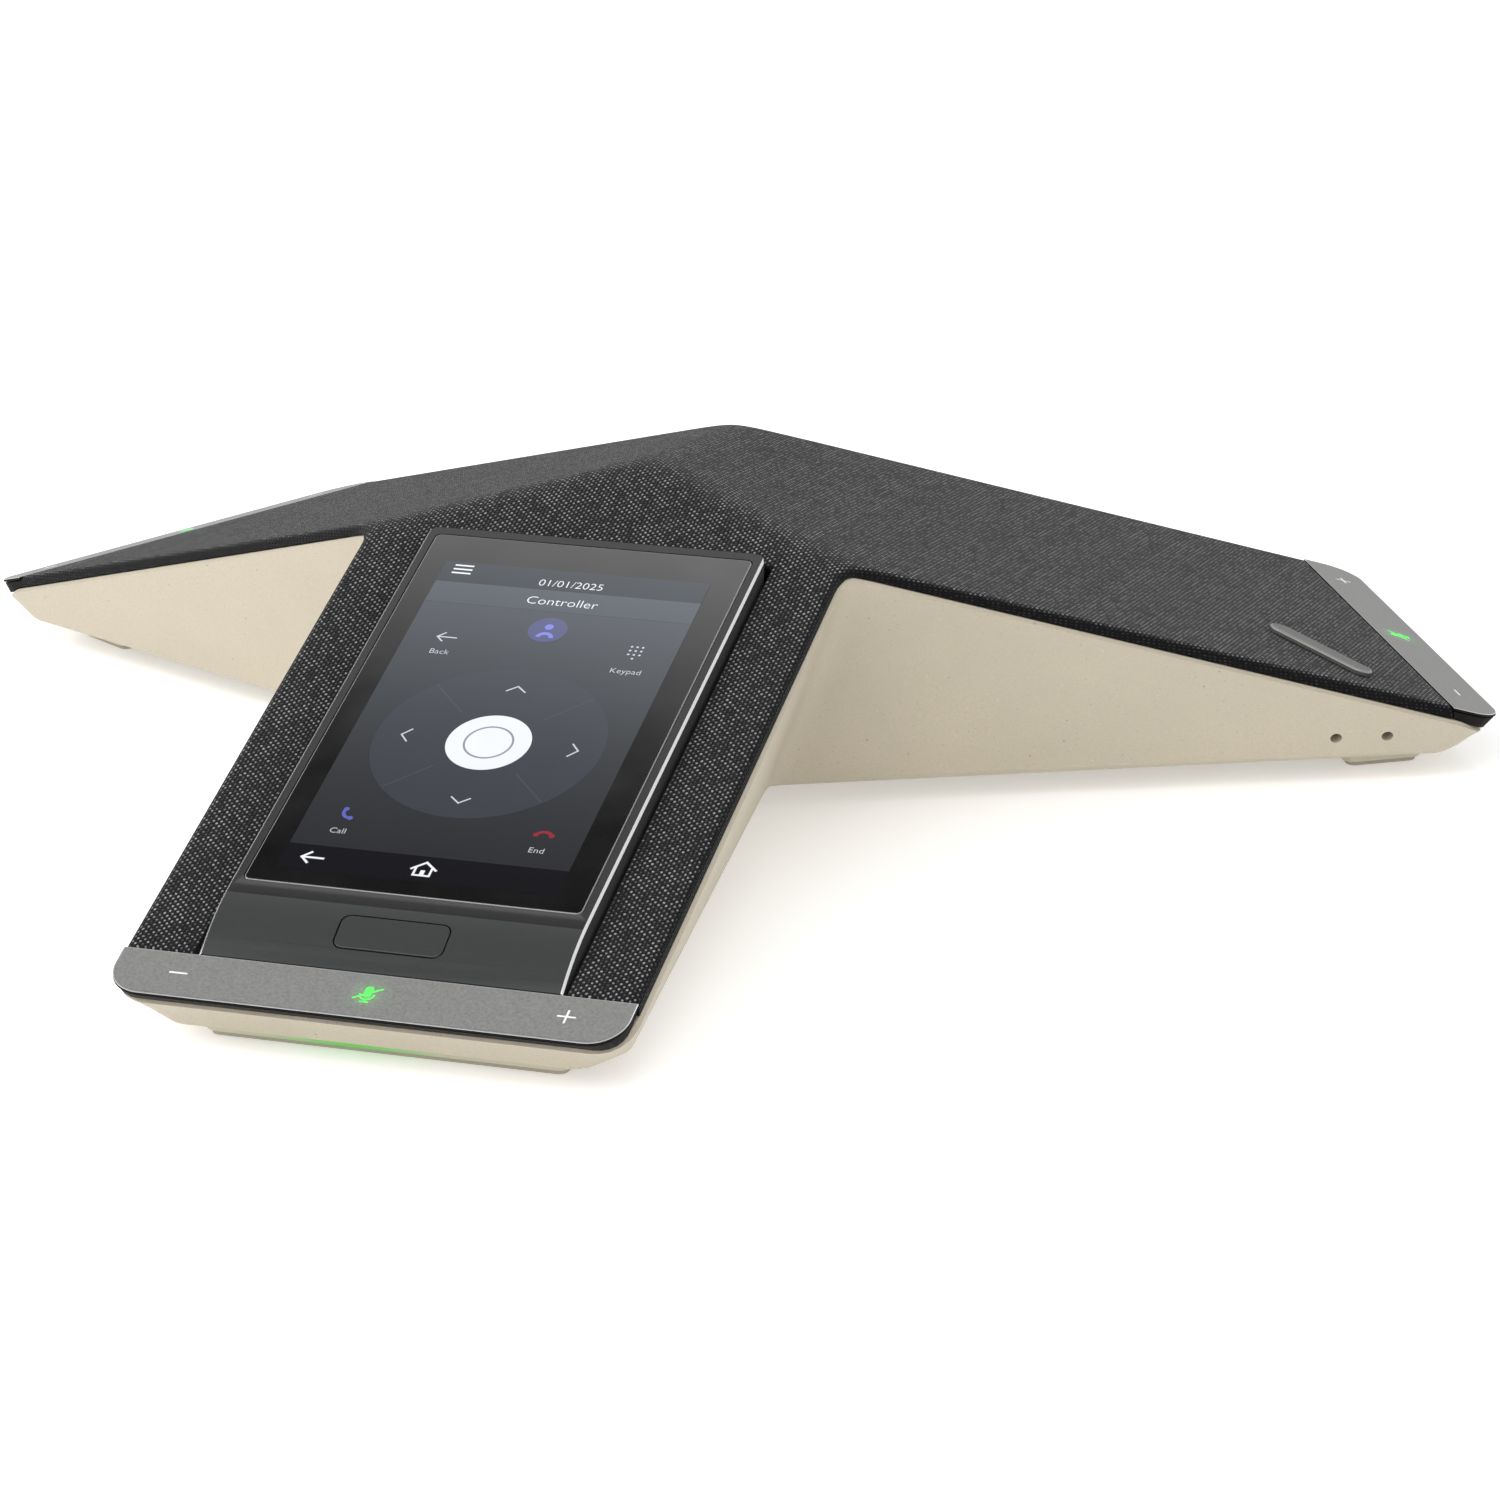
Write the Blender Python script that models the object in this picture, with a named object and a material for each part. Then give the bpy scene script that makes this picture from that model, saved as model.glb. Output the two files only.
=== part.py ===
"""Three-armed conference phone with a touch screen on its front arm.

Every size is in millimetres and becomes metres where a mesh is made. A place on the star is
given as (r, t, z): r along an arm from the hub axis, t across it, counter-clockwise side
positive, and z above the table.
"""
import math

import bmesh
import bpy
from mathutils import Matrix, Vector

MM = 0.001
GAP = 0.3                      # clearance between touching pieces

# Star
ARM_ANGLE = {"front": -90.0, "right": 30.0, "left": 150.0}
ARM_REACH = 191.0              # hub axis to the outer edge of a touch bar
BAR_DEPTH = 12.8               # touch bar, along the arm
ARM_HALF = 56.9                # half width of an arm's top
TIP_RADIUS = 8.0
PEAK = 77.5                    # height at which the three top planes meet
SLOPE = 0.328                  # fall of an arm's top per millimetre of reach
PEAK_SOFTNESS = 4.0            # rounding of the peak and the three ridges
BAR_INNER = ARM_REACH - BAR_DEPTH
BAR_THICK = 0.8

# Base housing
LIP_HALF = 57.6
LIP_DROP = 2.64                # lip below the top plane at the hub
LIP_SLOPE = 0.3309
LIP_ROUND = 0.8
LIP_REACH = ARM_REACH - 3.7
TIP_DIP = 1.25                 # extra fall of the lip round an arm's end
TIP_DIP_START = 178.5
WALL_DRAFT = 0.378             # side walls lean in by this much per millimetre of height
WALL = 2.4
CHAMFER_Z = 7.6
CHAMFER_REACH = 184.0
CHAMFER_RADIUS = 9.0
UNDERSIDE_Z = 4.6
UNDERSIDE_REACH = 182.2
UNDERSIDE_HALF = 27.4
UNDERSIDE_FLARE = 0.116
UNDERSIDE_RADIUS = 5.5
FLOOR = 2.2
CORNER_SOFTNESS = 7.0          # setback of the rounded inner corners

# Cover
FABRIC = 0.9
FRAME = 2.0
SKIRT_ROUND = 2.2
COVER_GAP = 0.2                # seam between the cover and a touch bar

# Display module
SCREEN_RISE = 3.4              # module face above the top plane
MODULE_HALF = 40.3
MODULE_START = 37.2
GLASS_HALF = 38.1
GLASS_START = 39.5
GLASS_END = 158.8
FACE_END = 160.6
CHIN_END = 177.6
CHIN_DROP = 0.2                # chin's lower edge below the touch bar's face
MODULE_BACK = 8.8              # depth of the module's sides
CHIN_DEPTH = 5.5
BEZEL_EDGE = 0.5
BEZEL_CORNER = 2.5
GLASS_THICK = 1.2
LCD_HALF = 33.0
NOTCH_HALF = 41.1
NOTCH_START = 36.4
SKIN = 1.8
SEAT_DROP = GLASS_THICK + 0.2  # glass seat below the module's face
CHIN_SKIN = SEAT_DROP + 1.5

# Home key
KEY_HALF = 12.05
KEY_LENGTH = 8.6
KEY_GAP = 0.35
KEY_RADIUS = 2.0
KEY_TRAVEL = 0.5
KEY_FLANGE = 1.0
KEY_FLANGE_THICK = 0.8

# Feet, light guides and sound ports
FOOT_FRONT = 176.9
FOOT_BACK = 157.5
FOOT_HALF = 40.9
FOOT_RADIUS = 3.0
PAD_THICK = 0.9
RIB_R = (169.0, 172.0)
RIB_HALF = 30.0
PORT_R = (151.0, 163.0)
PORT_Z = 12.5
PORT_RADIUS = 1.4

# Hub contents
BAY_HALF = 26.0
BAY_Y = (3.0, 33.0)
BAY_TOP = 25.0
BAY_WALL = 1.6
SPEAKER_RADIUS = 32.0
SPEAKER_TOP = 60.0
GRILLE_ROWS = ((8.3, 5), (17.1, 9), (25.7, 14))     # (radius, holes) over the loudspeaker
GRILLE_TURN = 0.3              # share of a hole's spacing by which each row is turned
GRILLE_HOLE = 2.1
SOCKET_DEPTH = 15.0
# name: (centre x, half width, low z, high z) of each socket's shell
SOCKETS = {
    "ethernet_jack": (-13.0, 7.8, 9.6, 22.9),
    "usb_a_socket": (5.5, 6.6, 9.6, 16.6),
    "usb_c_socket": (18.0, 4.5, 9.6, 12.9),
}
# name: (half width, low z, high z, depth) of the hollow that takes the plug
SOCKET_HOLLOWS = {
    "ethernet_jack": (5.9, 12.0, 20.2, 12.5),
    "usb_a_socket": (6.0, 10.5, 15.6, 9.0),
    "usb_c_socket": (4.1, 10.1, 12.4, 6.0),
}

# Base screws and the posts that take them
SCREW_R = 140.0
SCREW_T = 22.0
SCREW_HOLE = 1.8
HEAD_HOLE = 3.2
HEAD_DEPTH = 1.2
POST_RADIUS = 3.6
POST_CORE = 1.7
CORE_DEPTH = 11.0

# Badge on the right arm
BADGE_R = 152.0
BADGE_T = -36.0
BADGE_HALF = (15.0, 3.0)
BADGE_THICK = 1.3
BADGE_TURN = (0.83, 0.56)      # across and down the slope
BADGE_OFFSET = 0.3

# Touch bar, its carrier, board and mute light
BAR_EDGE = 0.35
CARRIER_INSET = 0.2
CARRIER_TIP = 6.0
POCKET_HALF = (4.0, 52.0)
BOARD_HALF = (3.7, 51.5)
LIGHT_WELL = (3.4, 4.4)
LIGHT_GUIDE = (3.0, 4.0)


def rear_extent():
    """Reach of the rear arms' bars behind the hub axis."""
    corner_r = ARM_REACH - TIP_RADIUS
    corner_t = ARM_HALF - TIP_RADIUS
    angle = math.radians(ARM_ANGLE["right"])
    return corner_r * math.sin(angle) + corner_t * math.cos(angle) + TIP_RADIUS


HUB_Y = (ARM_REACH - rear_extent()) / 2


# ---------------------------------------------------------------- frame helpers

def arm_axes(arm):
    angle = math.radians(ARM_ANGLE[arm])
    along = Vector((math.cos(angle), math.sin(angle), 0))
    across = Vector((-math.sin(angle), math.cos(angle), 0))
    return along, across


def on_arm(arm, r, t, z):
    along, across = arm_axes(arm)
    return along * r + across * t + Vector((0, HUB_Y, z))


def arm_reaches(point):
    return [arm_axes(arm)[0].dot(point - Vector((0, HUB_Y, 0))) for arm in ARM_ANGLE]


def top_height(point):
    """Cover height at a plan point: three sloping planes, rounded where they meet."""
    reaches = arm_reaches(point)
    longest = max(reaches)
    total = sum(math.exp((reach - longest) / PEAK_SOFTNESS) for reach in reaches)
    return PEAK - SLOPE * (longest + PEAK_SOFTNESS * math.log(total))


def plane_height(r):
    return PEAK - SLOPE * r


def lip_height(r):
    return PEAK - LIP_DROP - LIP_SLOPE * r


def rim_height(r):
    """Height of the lip, with its extra fall round an arm's end."""
    k = min(1.0, max(0.0, (r - TIP_DIP_START) / (LIP_REACH - TIP_DIP_START)))
    return lip_height(r) - TIP_DIP * k * k * (3 - 2 * k)


def wall_half(r, z):
    """Half width of the base at reach r and height z: one flat panel on each side of an arm."""
    return LIP_HALF + WALL_DRAFT * (z - lip_height(r))


# ---------------------------------------------------------------- mesh helpers

def add_ring(bm, points):
    return [bm.verts.new(point * MM) for point in points]


def bridge(bm, first, second):
    count = len(first)
    for i in range(count):
        j = (i + 1) % count
        bm.faces.new((first[i], first[j], second[j], second[i]))


def finish(name, bm, material, smooth=0.0):
    bmesh.ops.recalc_face_normals(bm, faces=bm.faces)
    mesh = bpy.data.meshes.new(name)
    bm.to_mesh(mesh)
    bm.free()
    if smooth:
        mesh.shade_smooth()
        mesh.set_sharp_from_angle(angle=math.radians(smooth))
    obj = bpy.data.objects.new(name, mesh)
    bpy.context.scene.collection.objects.link(obj)
    if material:
        obj.data.materials.append(material)
    return obj


def loft(name, rings, material, smooth=0.0, caps=True):
    """Closed solid through a list of rings with equal point counts."""
    bm = bmesh.new()
    made = [add_ring(bm, ring) for ring in rings]
    for first, second in zip(made, made[1:]):
        bridge(bm, first, second)
    if caps:
        bm.faces.new(made[0])
        bm.faces.new(made[-1])
    else:
        bridge(bm, made[-1], made[0])
    return finish(name, bm, material, smooth)


def make_material(name, colour, roughness, metallic=0.0):
    material = bpy.data.materials.new(name)
    material.use_nodes = True
    shader = material.node_tree.nodes["Principled BSDF"]
    shader.inputs["Base Color"].default_value = (*colour, 1.0)
    shader.inputs["Roughness"].default_value = roughness
    shader.inputs["Metallic"].default_value = metallic
    return material


def rounded_plan(half_u, half_v, radius, steps=4):
    """Rounded rectangle as (u, v) pairs, counter-clockwise."""
    points = []
    for quarter, (su, sv) in enumerate(((1, 1), (-1, 1), (-1, -1), (1, -1))):
        for i in range(steps + 1):
            angle = math.radians(90 * (quarter + i / steps))
            u = su * (half_u - radius) + radius * math.cos(angle)
            v = sv * (half_v - radius) + radius * math.sin(angle)
            points.append((u, v))
    return points


def basis(origin, u_axis, v_axis, n_axis):
    """Matrix that places local (u, v, n) millimetres at an origin in millimetres."""
    matrix = Matrix.Identity(4)
    for column, axis in enumerate((u_axis, v_axis, n_axis, origin)):
        for row in range(3):
            matrix[row][column] = axis[row]
    return matrix


def block(name, frame, half_u, half_v, low, high, material, radius=0.0, edge=0.0, steps=4):
    """Block on a local frame, with rounded plan corners and a small edge chamfer on top."""
    if radius:
        outline = rounded_plan(half_u, half_v, radius, steps)
        inner = rounded_plan(half_u - edge, half_v - edge, radius - edge, steps)
    else:
        outline = [(half_u, half_v), (-half_u, half_v), (-half_u, -half_v), (half_u, -half_v)]
        u, v = half_u - edge, half_v - edge
        inner = [(u, v), (-u, v), (-u, -v), (u, -v)]
    levels = [(outline, low), (outline, high - edge)]
    if edge:
        levels.append((inner, high))
    rings = [[frame @ Vector((u, v, n)) for u, v in ring] for ring, n in levels]
    return loft(name, rings, material, 30.0 if radius else 0.0)


def turned(name, profile, centre, material, segments=48, closed=False):
    """Solid of revolution about a vertical axis, from (radius, z) pairs."""
    rings = []
    for radius, z in profile:
        ring = []
        for i in range(segments):
            angle = math.tau * i / segments
            ring.append(centre + Vector((radius * math.cos(angle), radius * math.sin(angle), z)))
        rings.append(ring)
    return loft(name, rings, material, 30.0, caps=not closed)


def pin(name, start, end, radius, material, segments=16):
    """Round pin between two points."""
    axis = (end - start).normalized()
    side = axis.orthogonal().normalized()
    other = axis.cross(side)
    rings = []
    for point in (start, end):
        ring = []
        for i in range(segments):
            angle = math.tau * i / segments
            ring.append(point + (side * math.cos(angle) + other * math.sin(angle)) * radius)
        rings.append(ring)
    return loft(name, rings, material, 30.0)


def apply_boolean(target, tool, operation):
    """Cut, keep or join with a tool, then remove the tool."""
    modifier = target.modifiers.new(operation.title(), "BOOLEAN")
    modifier.operation = operation
    modifier.object = tool
    tool.hide_render = True
    tool.display_type = "WIRE"
    depsgraph = bpy.context.evaluated_depsgraph_get()
    evaluated = target.evaluated_get(depsgraph)
    mesh = bpy.data.meshes.new_from_object(evaluated)
    target.modifiers.remove(modifier)
    weld(mesh)
    old = target.data
    target.data = mesh
    mesh.name = target.name
    bpy.data.meshes.remove(old)
    bpy.data.objects.remove(tool)


def weld(mesh):
    """Merge points that a cut leaves closer than a thousandth of a millimetre."""
    bm = bmesh.new()
    bm.from_mesh(mesh)
    bmesh.ops.remove_doubles(bm, verts=bm.verts, dist=0.001 * MM)
    bm.to_mesh(mesh)
    bm.free()


def cut(target, tool):
    apply_boolean(target, tool, "DIFFERENCE")


def join(target, tool):
    apply_boolean(target, tool, "UNION")


def smooth_again(obj, angle=30.0):
    obj.data.shade_smooth()
    obj.data.set_sharp_from_angle(angle=math.radians(angle))


# ---------------------------------------------------------------- star outlines

def inner_corner(half, flare):
    """Reach at which the sides of two neighbouring arms meet."""
    return half / (math.tan(math.radians(60)) - flare)


def fillet(start, corner, end, steps=5):
    """Points of a soft corner between two sides."""
    points = []
    for i in range(steps + 1):
        k = i / steps
        points.append(start * (1 - k) ** 2 + corner * 2 * k * (1 - k) + end * k ** 2)
    return points


def tip_points(half, reach, radius, steps=6):
    """Outer end of an arm as (r, t), from its -t side to its +t side."""
    if not radius:
        return [(reach, -half), (reach, half)]
    points = []
    for i in range(steps + 1):
        angle = math.radians(90 * i / steps)
        points.append((reach - radius + radius * math.sin(angle),
                       -(half - radius) - radius * math.cos(angle)))
    return points + [(r, -t) for r, t in reversed(points)]


def star_ring(half, reach, radius, height, flare=0.0, notch=None):
    """Closed plan outline of the star. half grows by flare along an arm; notch is the
    (half width, start) of the opening for the display module in the front arm."""
    order = ("right", "left", "front")
    corner_r = inner_corner(half, flare)
    near = corner_r + CORNER_SOFTNESS
    plan = []
    for index, arm in enumerate(order):
        following = order[(index + 1) % 3]
        tip = tip_points(half + flare * (reach - radius), reach, radius)
        if notch and arm == "front":
            wide, start = notch
            tip = [tip[0], (reach, -wide), (start, -wide), (start, wide), (reach, wide), tip[1]]
        plan.extend(on_arm(arm, r, t, 0) for r, t in tip)
        start_point = on_arm(arm, near, half + flare * near, 0)
        corner = on_arm(arm, corner_r, half + flare * corner_r, 0)
        end_point = on_arm(following, near, -(half + flare * near), 0)
        plan.extend(fillet(start_point, corner, end_point))
    return [point + Vector((0, 0, height(point))) for point in plan]


def level(z):
    return lambda point: z


def lip_level(rise):
    return lambda point: rim_height(max(arm_reaches(point))) + rise


def under_top(drop):
    return lambda point: top_height(point) - drop


def wall_ring(z, reach, radius, inset=0.0):
    """Level outline of the base's side panels."""
    flare = WALL_DRAFT * LIP_SLOPE
    half = wall_half(0, z) - inset
    return star_ring(half, reach, radius, level(z), flare)


# ---------------------------------------------------------------- housing and cover

def sound_port_frame(arm, r):
    """Frame on a side panel: u along the arm, v up the panel, n outward."""
    along, across = arm_axes(arm)
    flare = WALL_DRAFT * LIP_SLOPE
    run = (along - across * flare).normalized()
    rise = (Vector((0, 0, 1)) - across * WALL_DRAFT).normalized()
    outward = run.cross(rise)
    if outward.dot(across) > 0:
        outward.negate()
    rise = outward.cross(run)
    origin = on_arm(arm, r, -wall_half(r, PORT_Z), PORT_Z)
    return basis(origin, run, rise, outward)


def cut_sound_ports(housing):
    for arm in ARM_ANGLE:
        for r in PORT_R:
            frame = sound_port_frame(arm, r)
            tool = pin("port_tool", frame @ Vector((0, 0, -2 * WALL)),
                       frame @ Vector((0, 0, 2 * WALL)), PORT_RADIUS, None)
            cut(housing, tool)


def cut_foot_slots(housing):
    for arm in ARM_ANGLE:
        frame = arm_frame(arm, sum(RIB_R) / 2, 0, 0)
        half_r = (RIB_R[1] - RIB_R[0]) / 2 + GAP
        tool = block("slot_tool", frame, half_r, RIB_HALF + GAP, 0, CHAMFER_Z + FLOOR, None)
        cut(housing, tool)


def arm_frame(arm, r, t, z):
    """Level frame on an arm: u along it, v across it, n up."""
    along, across = arm_axes(arm)
    return basis(on_arm(arm, r, t, z), along, across, Vector((0, 0, 1)))


def screw_places():
    return [(arm, side) for arm in ARM_ANGLE for side in (-1, 1)]


def cut_screw_holes(housing):
    for arm, side in screw_places():
        foot = on_arm(arm, SCREW_R, side * SCREW_T, 0)
        up = Vector((0, 0, 1))
        cut(housing, pin("hole_tool", foot, foot + up * PORT_Z, SCREW_HOLE, None, 12))
        seat = foot + up * (UNDERSIDE_Z + HEAD_DEPTH)
        cut(housing, pin("head_tool", foot, seat, HEAD_HOLE, None, 16))


def underside_ring(z, inset):
    return star_ring(UNDERSIDE_HALF - inset, UNDERSIDE_REACH - inset, UNDERSIDE_RADIUS, level(z),
                     UNDERSIDE_FLARE)


def base_housing(material):
    rings = [
        star_ring(LIP_HALF - LIP_ROUND, LIP_REACH - LIP_ROUND, 8.0, lip_level(0)),
        star_ring(LIP_HALF, LIP_REACH, 8.5, lip_level(-LIP_ROUND)),
        wall_ring(CHAMFER_Z, CHAMFER_REACH, CHAMFER_RADIUS),
        underside_ring(UNDERSIDE_Z, 0),
        underside_ring(UNDERSIDE_Z + FLOOR, WALL),
        wall_ring(CHAMFER_Z + 1.0, CHAMFER_REACH - WALL, CHAMFER_RADIUS - 1, WALL),
        star_ring(LIP_HALF - LIP_ROUND - WALL, LIP_REACH - LIP_ROUND - WALL, 6.0, lip_level(0)),
    ]
    housing = tub("base_housing", rings, 4, material)
    cut_sound_ports(housing)
    cut_foot_slots(housing)
    cut_screw_holes(housing)
    bay = basis(Vector((0, HUB_Y + sum(BAY_Y) / 2, 0)), Vector((1, 0, 0)),
                Vector((0, 1, 0)), Vector((0, 0, 1)))
    half_v = (BAY_Y[1] - BAY_Y[0]) / 2 + GAP
    cut(housing, block("bay_tool", bay, BAY_HALF + GAP, half_v, 0, CHAMFER_Z + FLOOR, None))
    smooth_again(housing, 25.0)


def tub(name, rings, outer_count, material):
    """Open-topped shell: outer rings from the rim down, then inner rings from the floor up."""
    bm = bmesh.new()
    made = [add_ring(bm, ring) for ring in rings]
    outer, inner = made[:outer_count], made[outer_count:]
    for first, second in zip(outer, outer[1:]):
        bridge(bm, first, second)
    for first, second in zip(inner, inner[1:]):
        bridge(bm, first, second)
    bridge(bm, inner[-1], outer[0])
    bm.faces.new(outer[-1])
    bm.faces.new(inner[0])
    return finish(name, bm, material)


def cover_ring(half, inset, height):
    """Outline of the cover, with its arm ends and screen notch moved in by inset."""
    notch = (NOTCH_HALF + inset, NOTCH_START - inset)
    return star_ring(half, BAR_INNER - COVER_GAP - inset, 0.0, height, 0.0, notch)


def close_top(bm, ring, drop):
    """Cap a ring with a face that is split along the ridges and lifted to the top's height."""
    face = bm.faces.new(ring)
    geometry = [face] + list(face.edges) + list(face.verts)
    for arm in ARM_ANGLE:
        across = arm_axes(arm)[1]
        for offset in (-12, -7, -3, 0, 3, 7, 12):
            origin = (Vector((0, HUB_Y, 0)) + across * offset) * MM
            result = bmesh.ops.bisect_plane(bm, geom=geometry, plane_co=origin, plane_no=across)
            kept = set(geometry) | set(result["geom"])
            geometry = [item for item in kept if item.is_valid]
    for vert in {v for v in geometry if isinstance(v, bmesh.types.BMVert)}:
        vert.co.z = (top_height(vert.co / MM) - drop) * MM


def fabric_cover(material):
    """Cloth skin over the frame, turned down round its edges."""
    outer_rings = [
        cover_ring(ARM_HALF + 0.1, 0.0, lip_level(GAP)),
        cover_ring(ARM_HALF, 0.0, under_top(1.2)),
        cover_ring(ARM_HALF - 0.6, 0.0, under_top(0.45)),
        cover_ring(ARM_HALF - SKIRT_ROUND, 0.0, under_top(0.0)),
    ]
    inner_rings = [
        cover_ring(ARM_HALF - FABRIC, FABRIC, lip_level(GAP)),
        cover_ring(ARM_HALF - FABRIC, FABRIC, under_top(FABRIC + 0.4)),
        cover_ring(ARM_HALF - FABRIC - 0.6, FABRIC, under_top(FABRIC)),
    ]
    bm = bmesh.new()
    outer = [add_ring(bm, ring) for ring in outer_rings]
    inner = [add_ring(bm, ring) for ring in inner_rings]
    for rings in (outer, inner):
        for first, second in zip(rings, rings[1:]):
            bridge(bm, first, second)
    bridge(bm, outer[0], inner[0])
    close_top(bm, outer[-1], 0.0)
    close_top(bm, inner[-1], FABRIC)
    finish("fabric_cover", bm, material, 35.0)


def cover_plate(name, half, inset, drop, thickness, material):
    """Plate of even thickness that follows the star's top."""
    bm = bmesh.new()
    upper = add_ring(bm, cover_ring(half, inset, under_top(drop)))
    lower = add_ring(bm, cover_ring(half, inset, under_top(drop + thickness)))
    bridge(bm, upper, lower)
    close_top(bm, upper, drop)
    close_top(bm, lower, drop + thickness)
    return finish(name, bm, material, 35.0)


def add_post(obj, arm, side, top):
    """Screw post from the housing's floor up into a piece, with a blind core hole."""
    up = Vector((0, 0, 1))
    foot = on_arm(arm, SCREW_R, side * SCREW_T, UNDERSIDE_Z + FLOOR + GAP)
    head = on_arm(arm, SCREW_R, side * SCREW_T, top)
    join(obj, pin("post_tool", foot, head, POST_RADIUS, None, 16))
    cut(obj, pin("core_tool", foot - up, foot + up * CORE_DEPTH, POST_CORE, None, 12))


def grille_frame(material):
    half = LIP_HALF - LIP_ROUND - WALL - 0.5
    frame = cover_plate("grille_frame", half, FABRIC + GAP, FABRIC + GAP, FRAME, material)
    for arm, side in screw_places():
        if arm == "front":
            continue
        add_post(frame, arm, side, plane_height(SCREW_R) - FABRIC - GAP - 1.0)
    up = Vector((0, 0, 1))
    hub = Vector((0, HUB_Y, SPEAKER_TOP + 2))
    for radius, count in GRILLE_ROWS:
        for i in range(count):
            angle = math.tau * (i + GRILLE_TURN) / count
            place = hub + Vector((radius * math.cos(angle), radius * math.sin(angle), 0))
            cut(frame, pin("grille_tool", place, place + up * 20, GRILLE_HOLE, None, 8))
    smooth_again(frame, 35.0)


def badge(material):
    """Blank raised badge on the right arm's cover."""
    along, across = arm_axes("right")
    lean = (along - Vector((0, 0, 1)) * SLOPE).normalized()
    normal = lean.cross(across).normalized()
    length = (-across * BADGE_TURN[0] + lean * BADGE_TURN[1]).normalized()
    width = normal.cross(length).normalized()
    origin = on_arm("right", BADGE_R, BADGE_T, plane_height(BADGE_R)) + normal * BADGE_OFFSET
    half_u, half_v = BADGE_HALF
    block("badge", basis(origin, length, width, normal), half_u, half_v, 0, BADGE_THICK, material,
          half_v - 0.1, GAP)


# ---------------------------------------------------------------- touch bars and feet

def bar_ring(arm, inner, reach, half, radius, height):
    points = tip_points(half, reach, radius) + [(inner, half), (inner, -half)]
    return [on_arm(arm, r, t, height(r)) for r, t in points]


def bar_level(drop):
    return lambda r: plane_height(r) - drop


def touch_bar(arm, material):
    edge = BAR_EDGE
    rings = [
        bar_ring(arm, BAR_INNER, ARM_REACH, ARM_HALF, TIP_RADIUS, bar_level(BAR_THICK)),
        bar_ring(arm, BAR_INNER, ARM_REACH, ARM_HALF, TIP_RADIUS, bar_level(edge)),
        bar_ring(arm, BAR_INNER + edge, ARM_REACH - edge, ARM_HALF - edge, TIP_RADIUS - edge,
                 bar_level(0)),
    ]
    loft("touch_bar_" + arm, rings, material, 20.0)


def slope_frame(arm, r, rise):
    """Frame on an arm's sloping top: u down the slope, v across, n out of the top."""
    along, across = arm_axes(arm)
    lean = (along - Vector((0, 0, 1)) * SLOPE).normalized()
    normal = lean.cross(across).normalized()
    return basis(on_arm(arm, r, 0, plane_height(r) + rise), lean, across, normal)


def bar_frame(arm):
    """Sloping frame under the middle of a touch bar."""
    return slope_frame(arm, ARM_REACH - BAR_DEPTH / 2, -BAR_THICK - GAP)


def carrier_level(r):
    return rim_height(r) + GAP


def bar_carrier(arm, material):
    """Black seat between the base's rim and a touch bar, with a pocket for the board."""
    inner = BAR_INNER + CARRIER_INSET
    seat = bar_level(BAR_THICK + GAP)
    rings = [
        bar_ring(arm, inner, ARM_REACH - 3.4, ARM_HALF - 0.5, CARRIER_TIP, carrier_level),
        bar_ring(arm, inner, ARM_REACH - 0.4, ARM_HALF - GAP, TIP_RADIUS - GAP, seat),
    ]
    carrier = loft("bar_carrier_" + arm, rings, material, 20.0)
    frame = bar_frame(arm)
    cut(carrier, block("pocket_tool", frame, *POCKET_HALF, -0.9, 2.0, None))
    cut(carrier, block("light_tool", frame, *LIGHT_WELL, -6.0, 2.0, None))


def touch_board(arm, material):
    frame = bar_frame(arm)
    board = block("touch_board_" + arm, frame, *BOARD_HALF, -0.6, -0.05, material)
    cut(board, block("gap_tool", frame, *LIGHT_WELL, -2.0, 2.0, None))


def mute_light_guide(arm, material):
    block("mute_light_guide_" + arm, bar_frame(arm), *LIGHT_GUIDE, -1.0, 0.0, material)


def foot_light_guide(arm, material):
    middle = (FOOT_FRONT + FOOT_BACK) / 2
    frame = arm_frame(arm, middle, 0, 0)
    low = PAD_THICK + GAP
    foot = block("foot_light_guide_" + arm, frame, (FOOT_FRONT - FOOT_BACK) / 2, FOOT_HALF,
                 low, UNDERSIDE_Z - GAP, material, FOOT_RADIUS)
    rib = arm_frame(arm, sum(RIB_R) / 2, 0, 0)
    half_r = (RIB_R[1] - RIB_R[0]) / 2
    join(foot, block("rib_tool", rib, half_r, RIB_HALF, low + 1, UNDERSIDE_Z + FLOOR + 0.4, None))


def rubber_foot(arm, material):
    frame = arm_frame(arm, (FOOT_FRONT + FOOT_BACK) / 2, 0, 0)
    inset = 1.2
    block("rubber_foot_" + arm, frame, (FOOT_FRONT - FOOT_BACK) / 2 - inset, FOOT_HALF - inset,
          0, PAD_THICK, material, FOOT_RADIUS - 1)


def led_board(arm, material):
    frame = arm_frame(arm, sum(RIB_R) / 2, 0, 0)
    low = UNDERSIDE_Z + FLOOR + 0.4 + GAP
    block("led_board_" + arm, frame, 3.5, RIB_HALF + 1.0, low, low + 0.8, material)


def microphone(arm, boot_material, board_material):
    frame = sound_port_frame(arm, sum(PORT_R) / 2)
    half_u = (PORT_R[1] - PORT_R[0]) / 2 + 2.5
    inner = -WALL - LIP_ROUND - GAP
    block("mic_boot_" + arm, frame, half_u, 2.0, inner - 2.0, inner, boot_material)
    block("mic_board_" + arm, frame, half_u - 1, 1.8, inner - 3.2, inner - 2.0 - GAP,
          board_material)


# ---------------------------------------------------------------- display module

def module_height(r):
    return plane_height(r) + SCREEN_RISE


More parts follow.
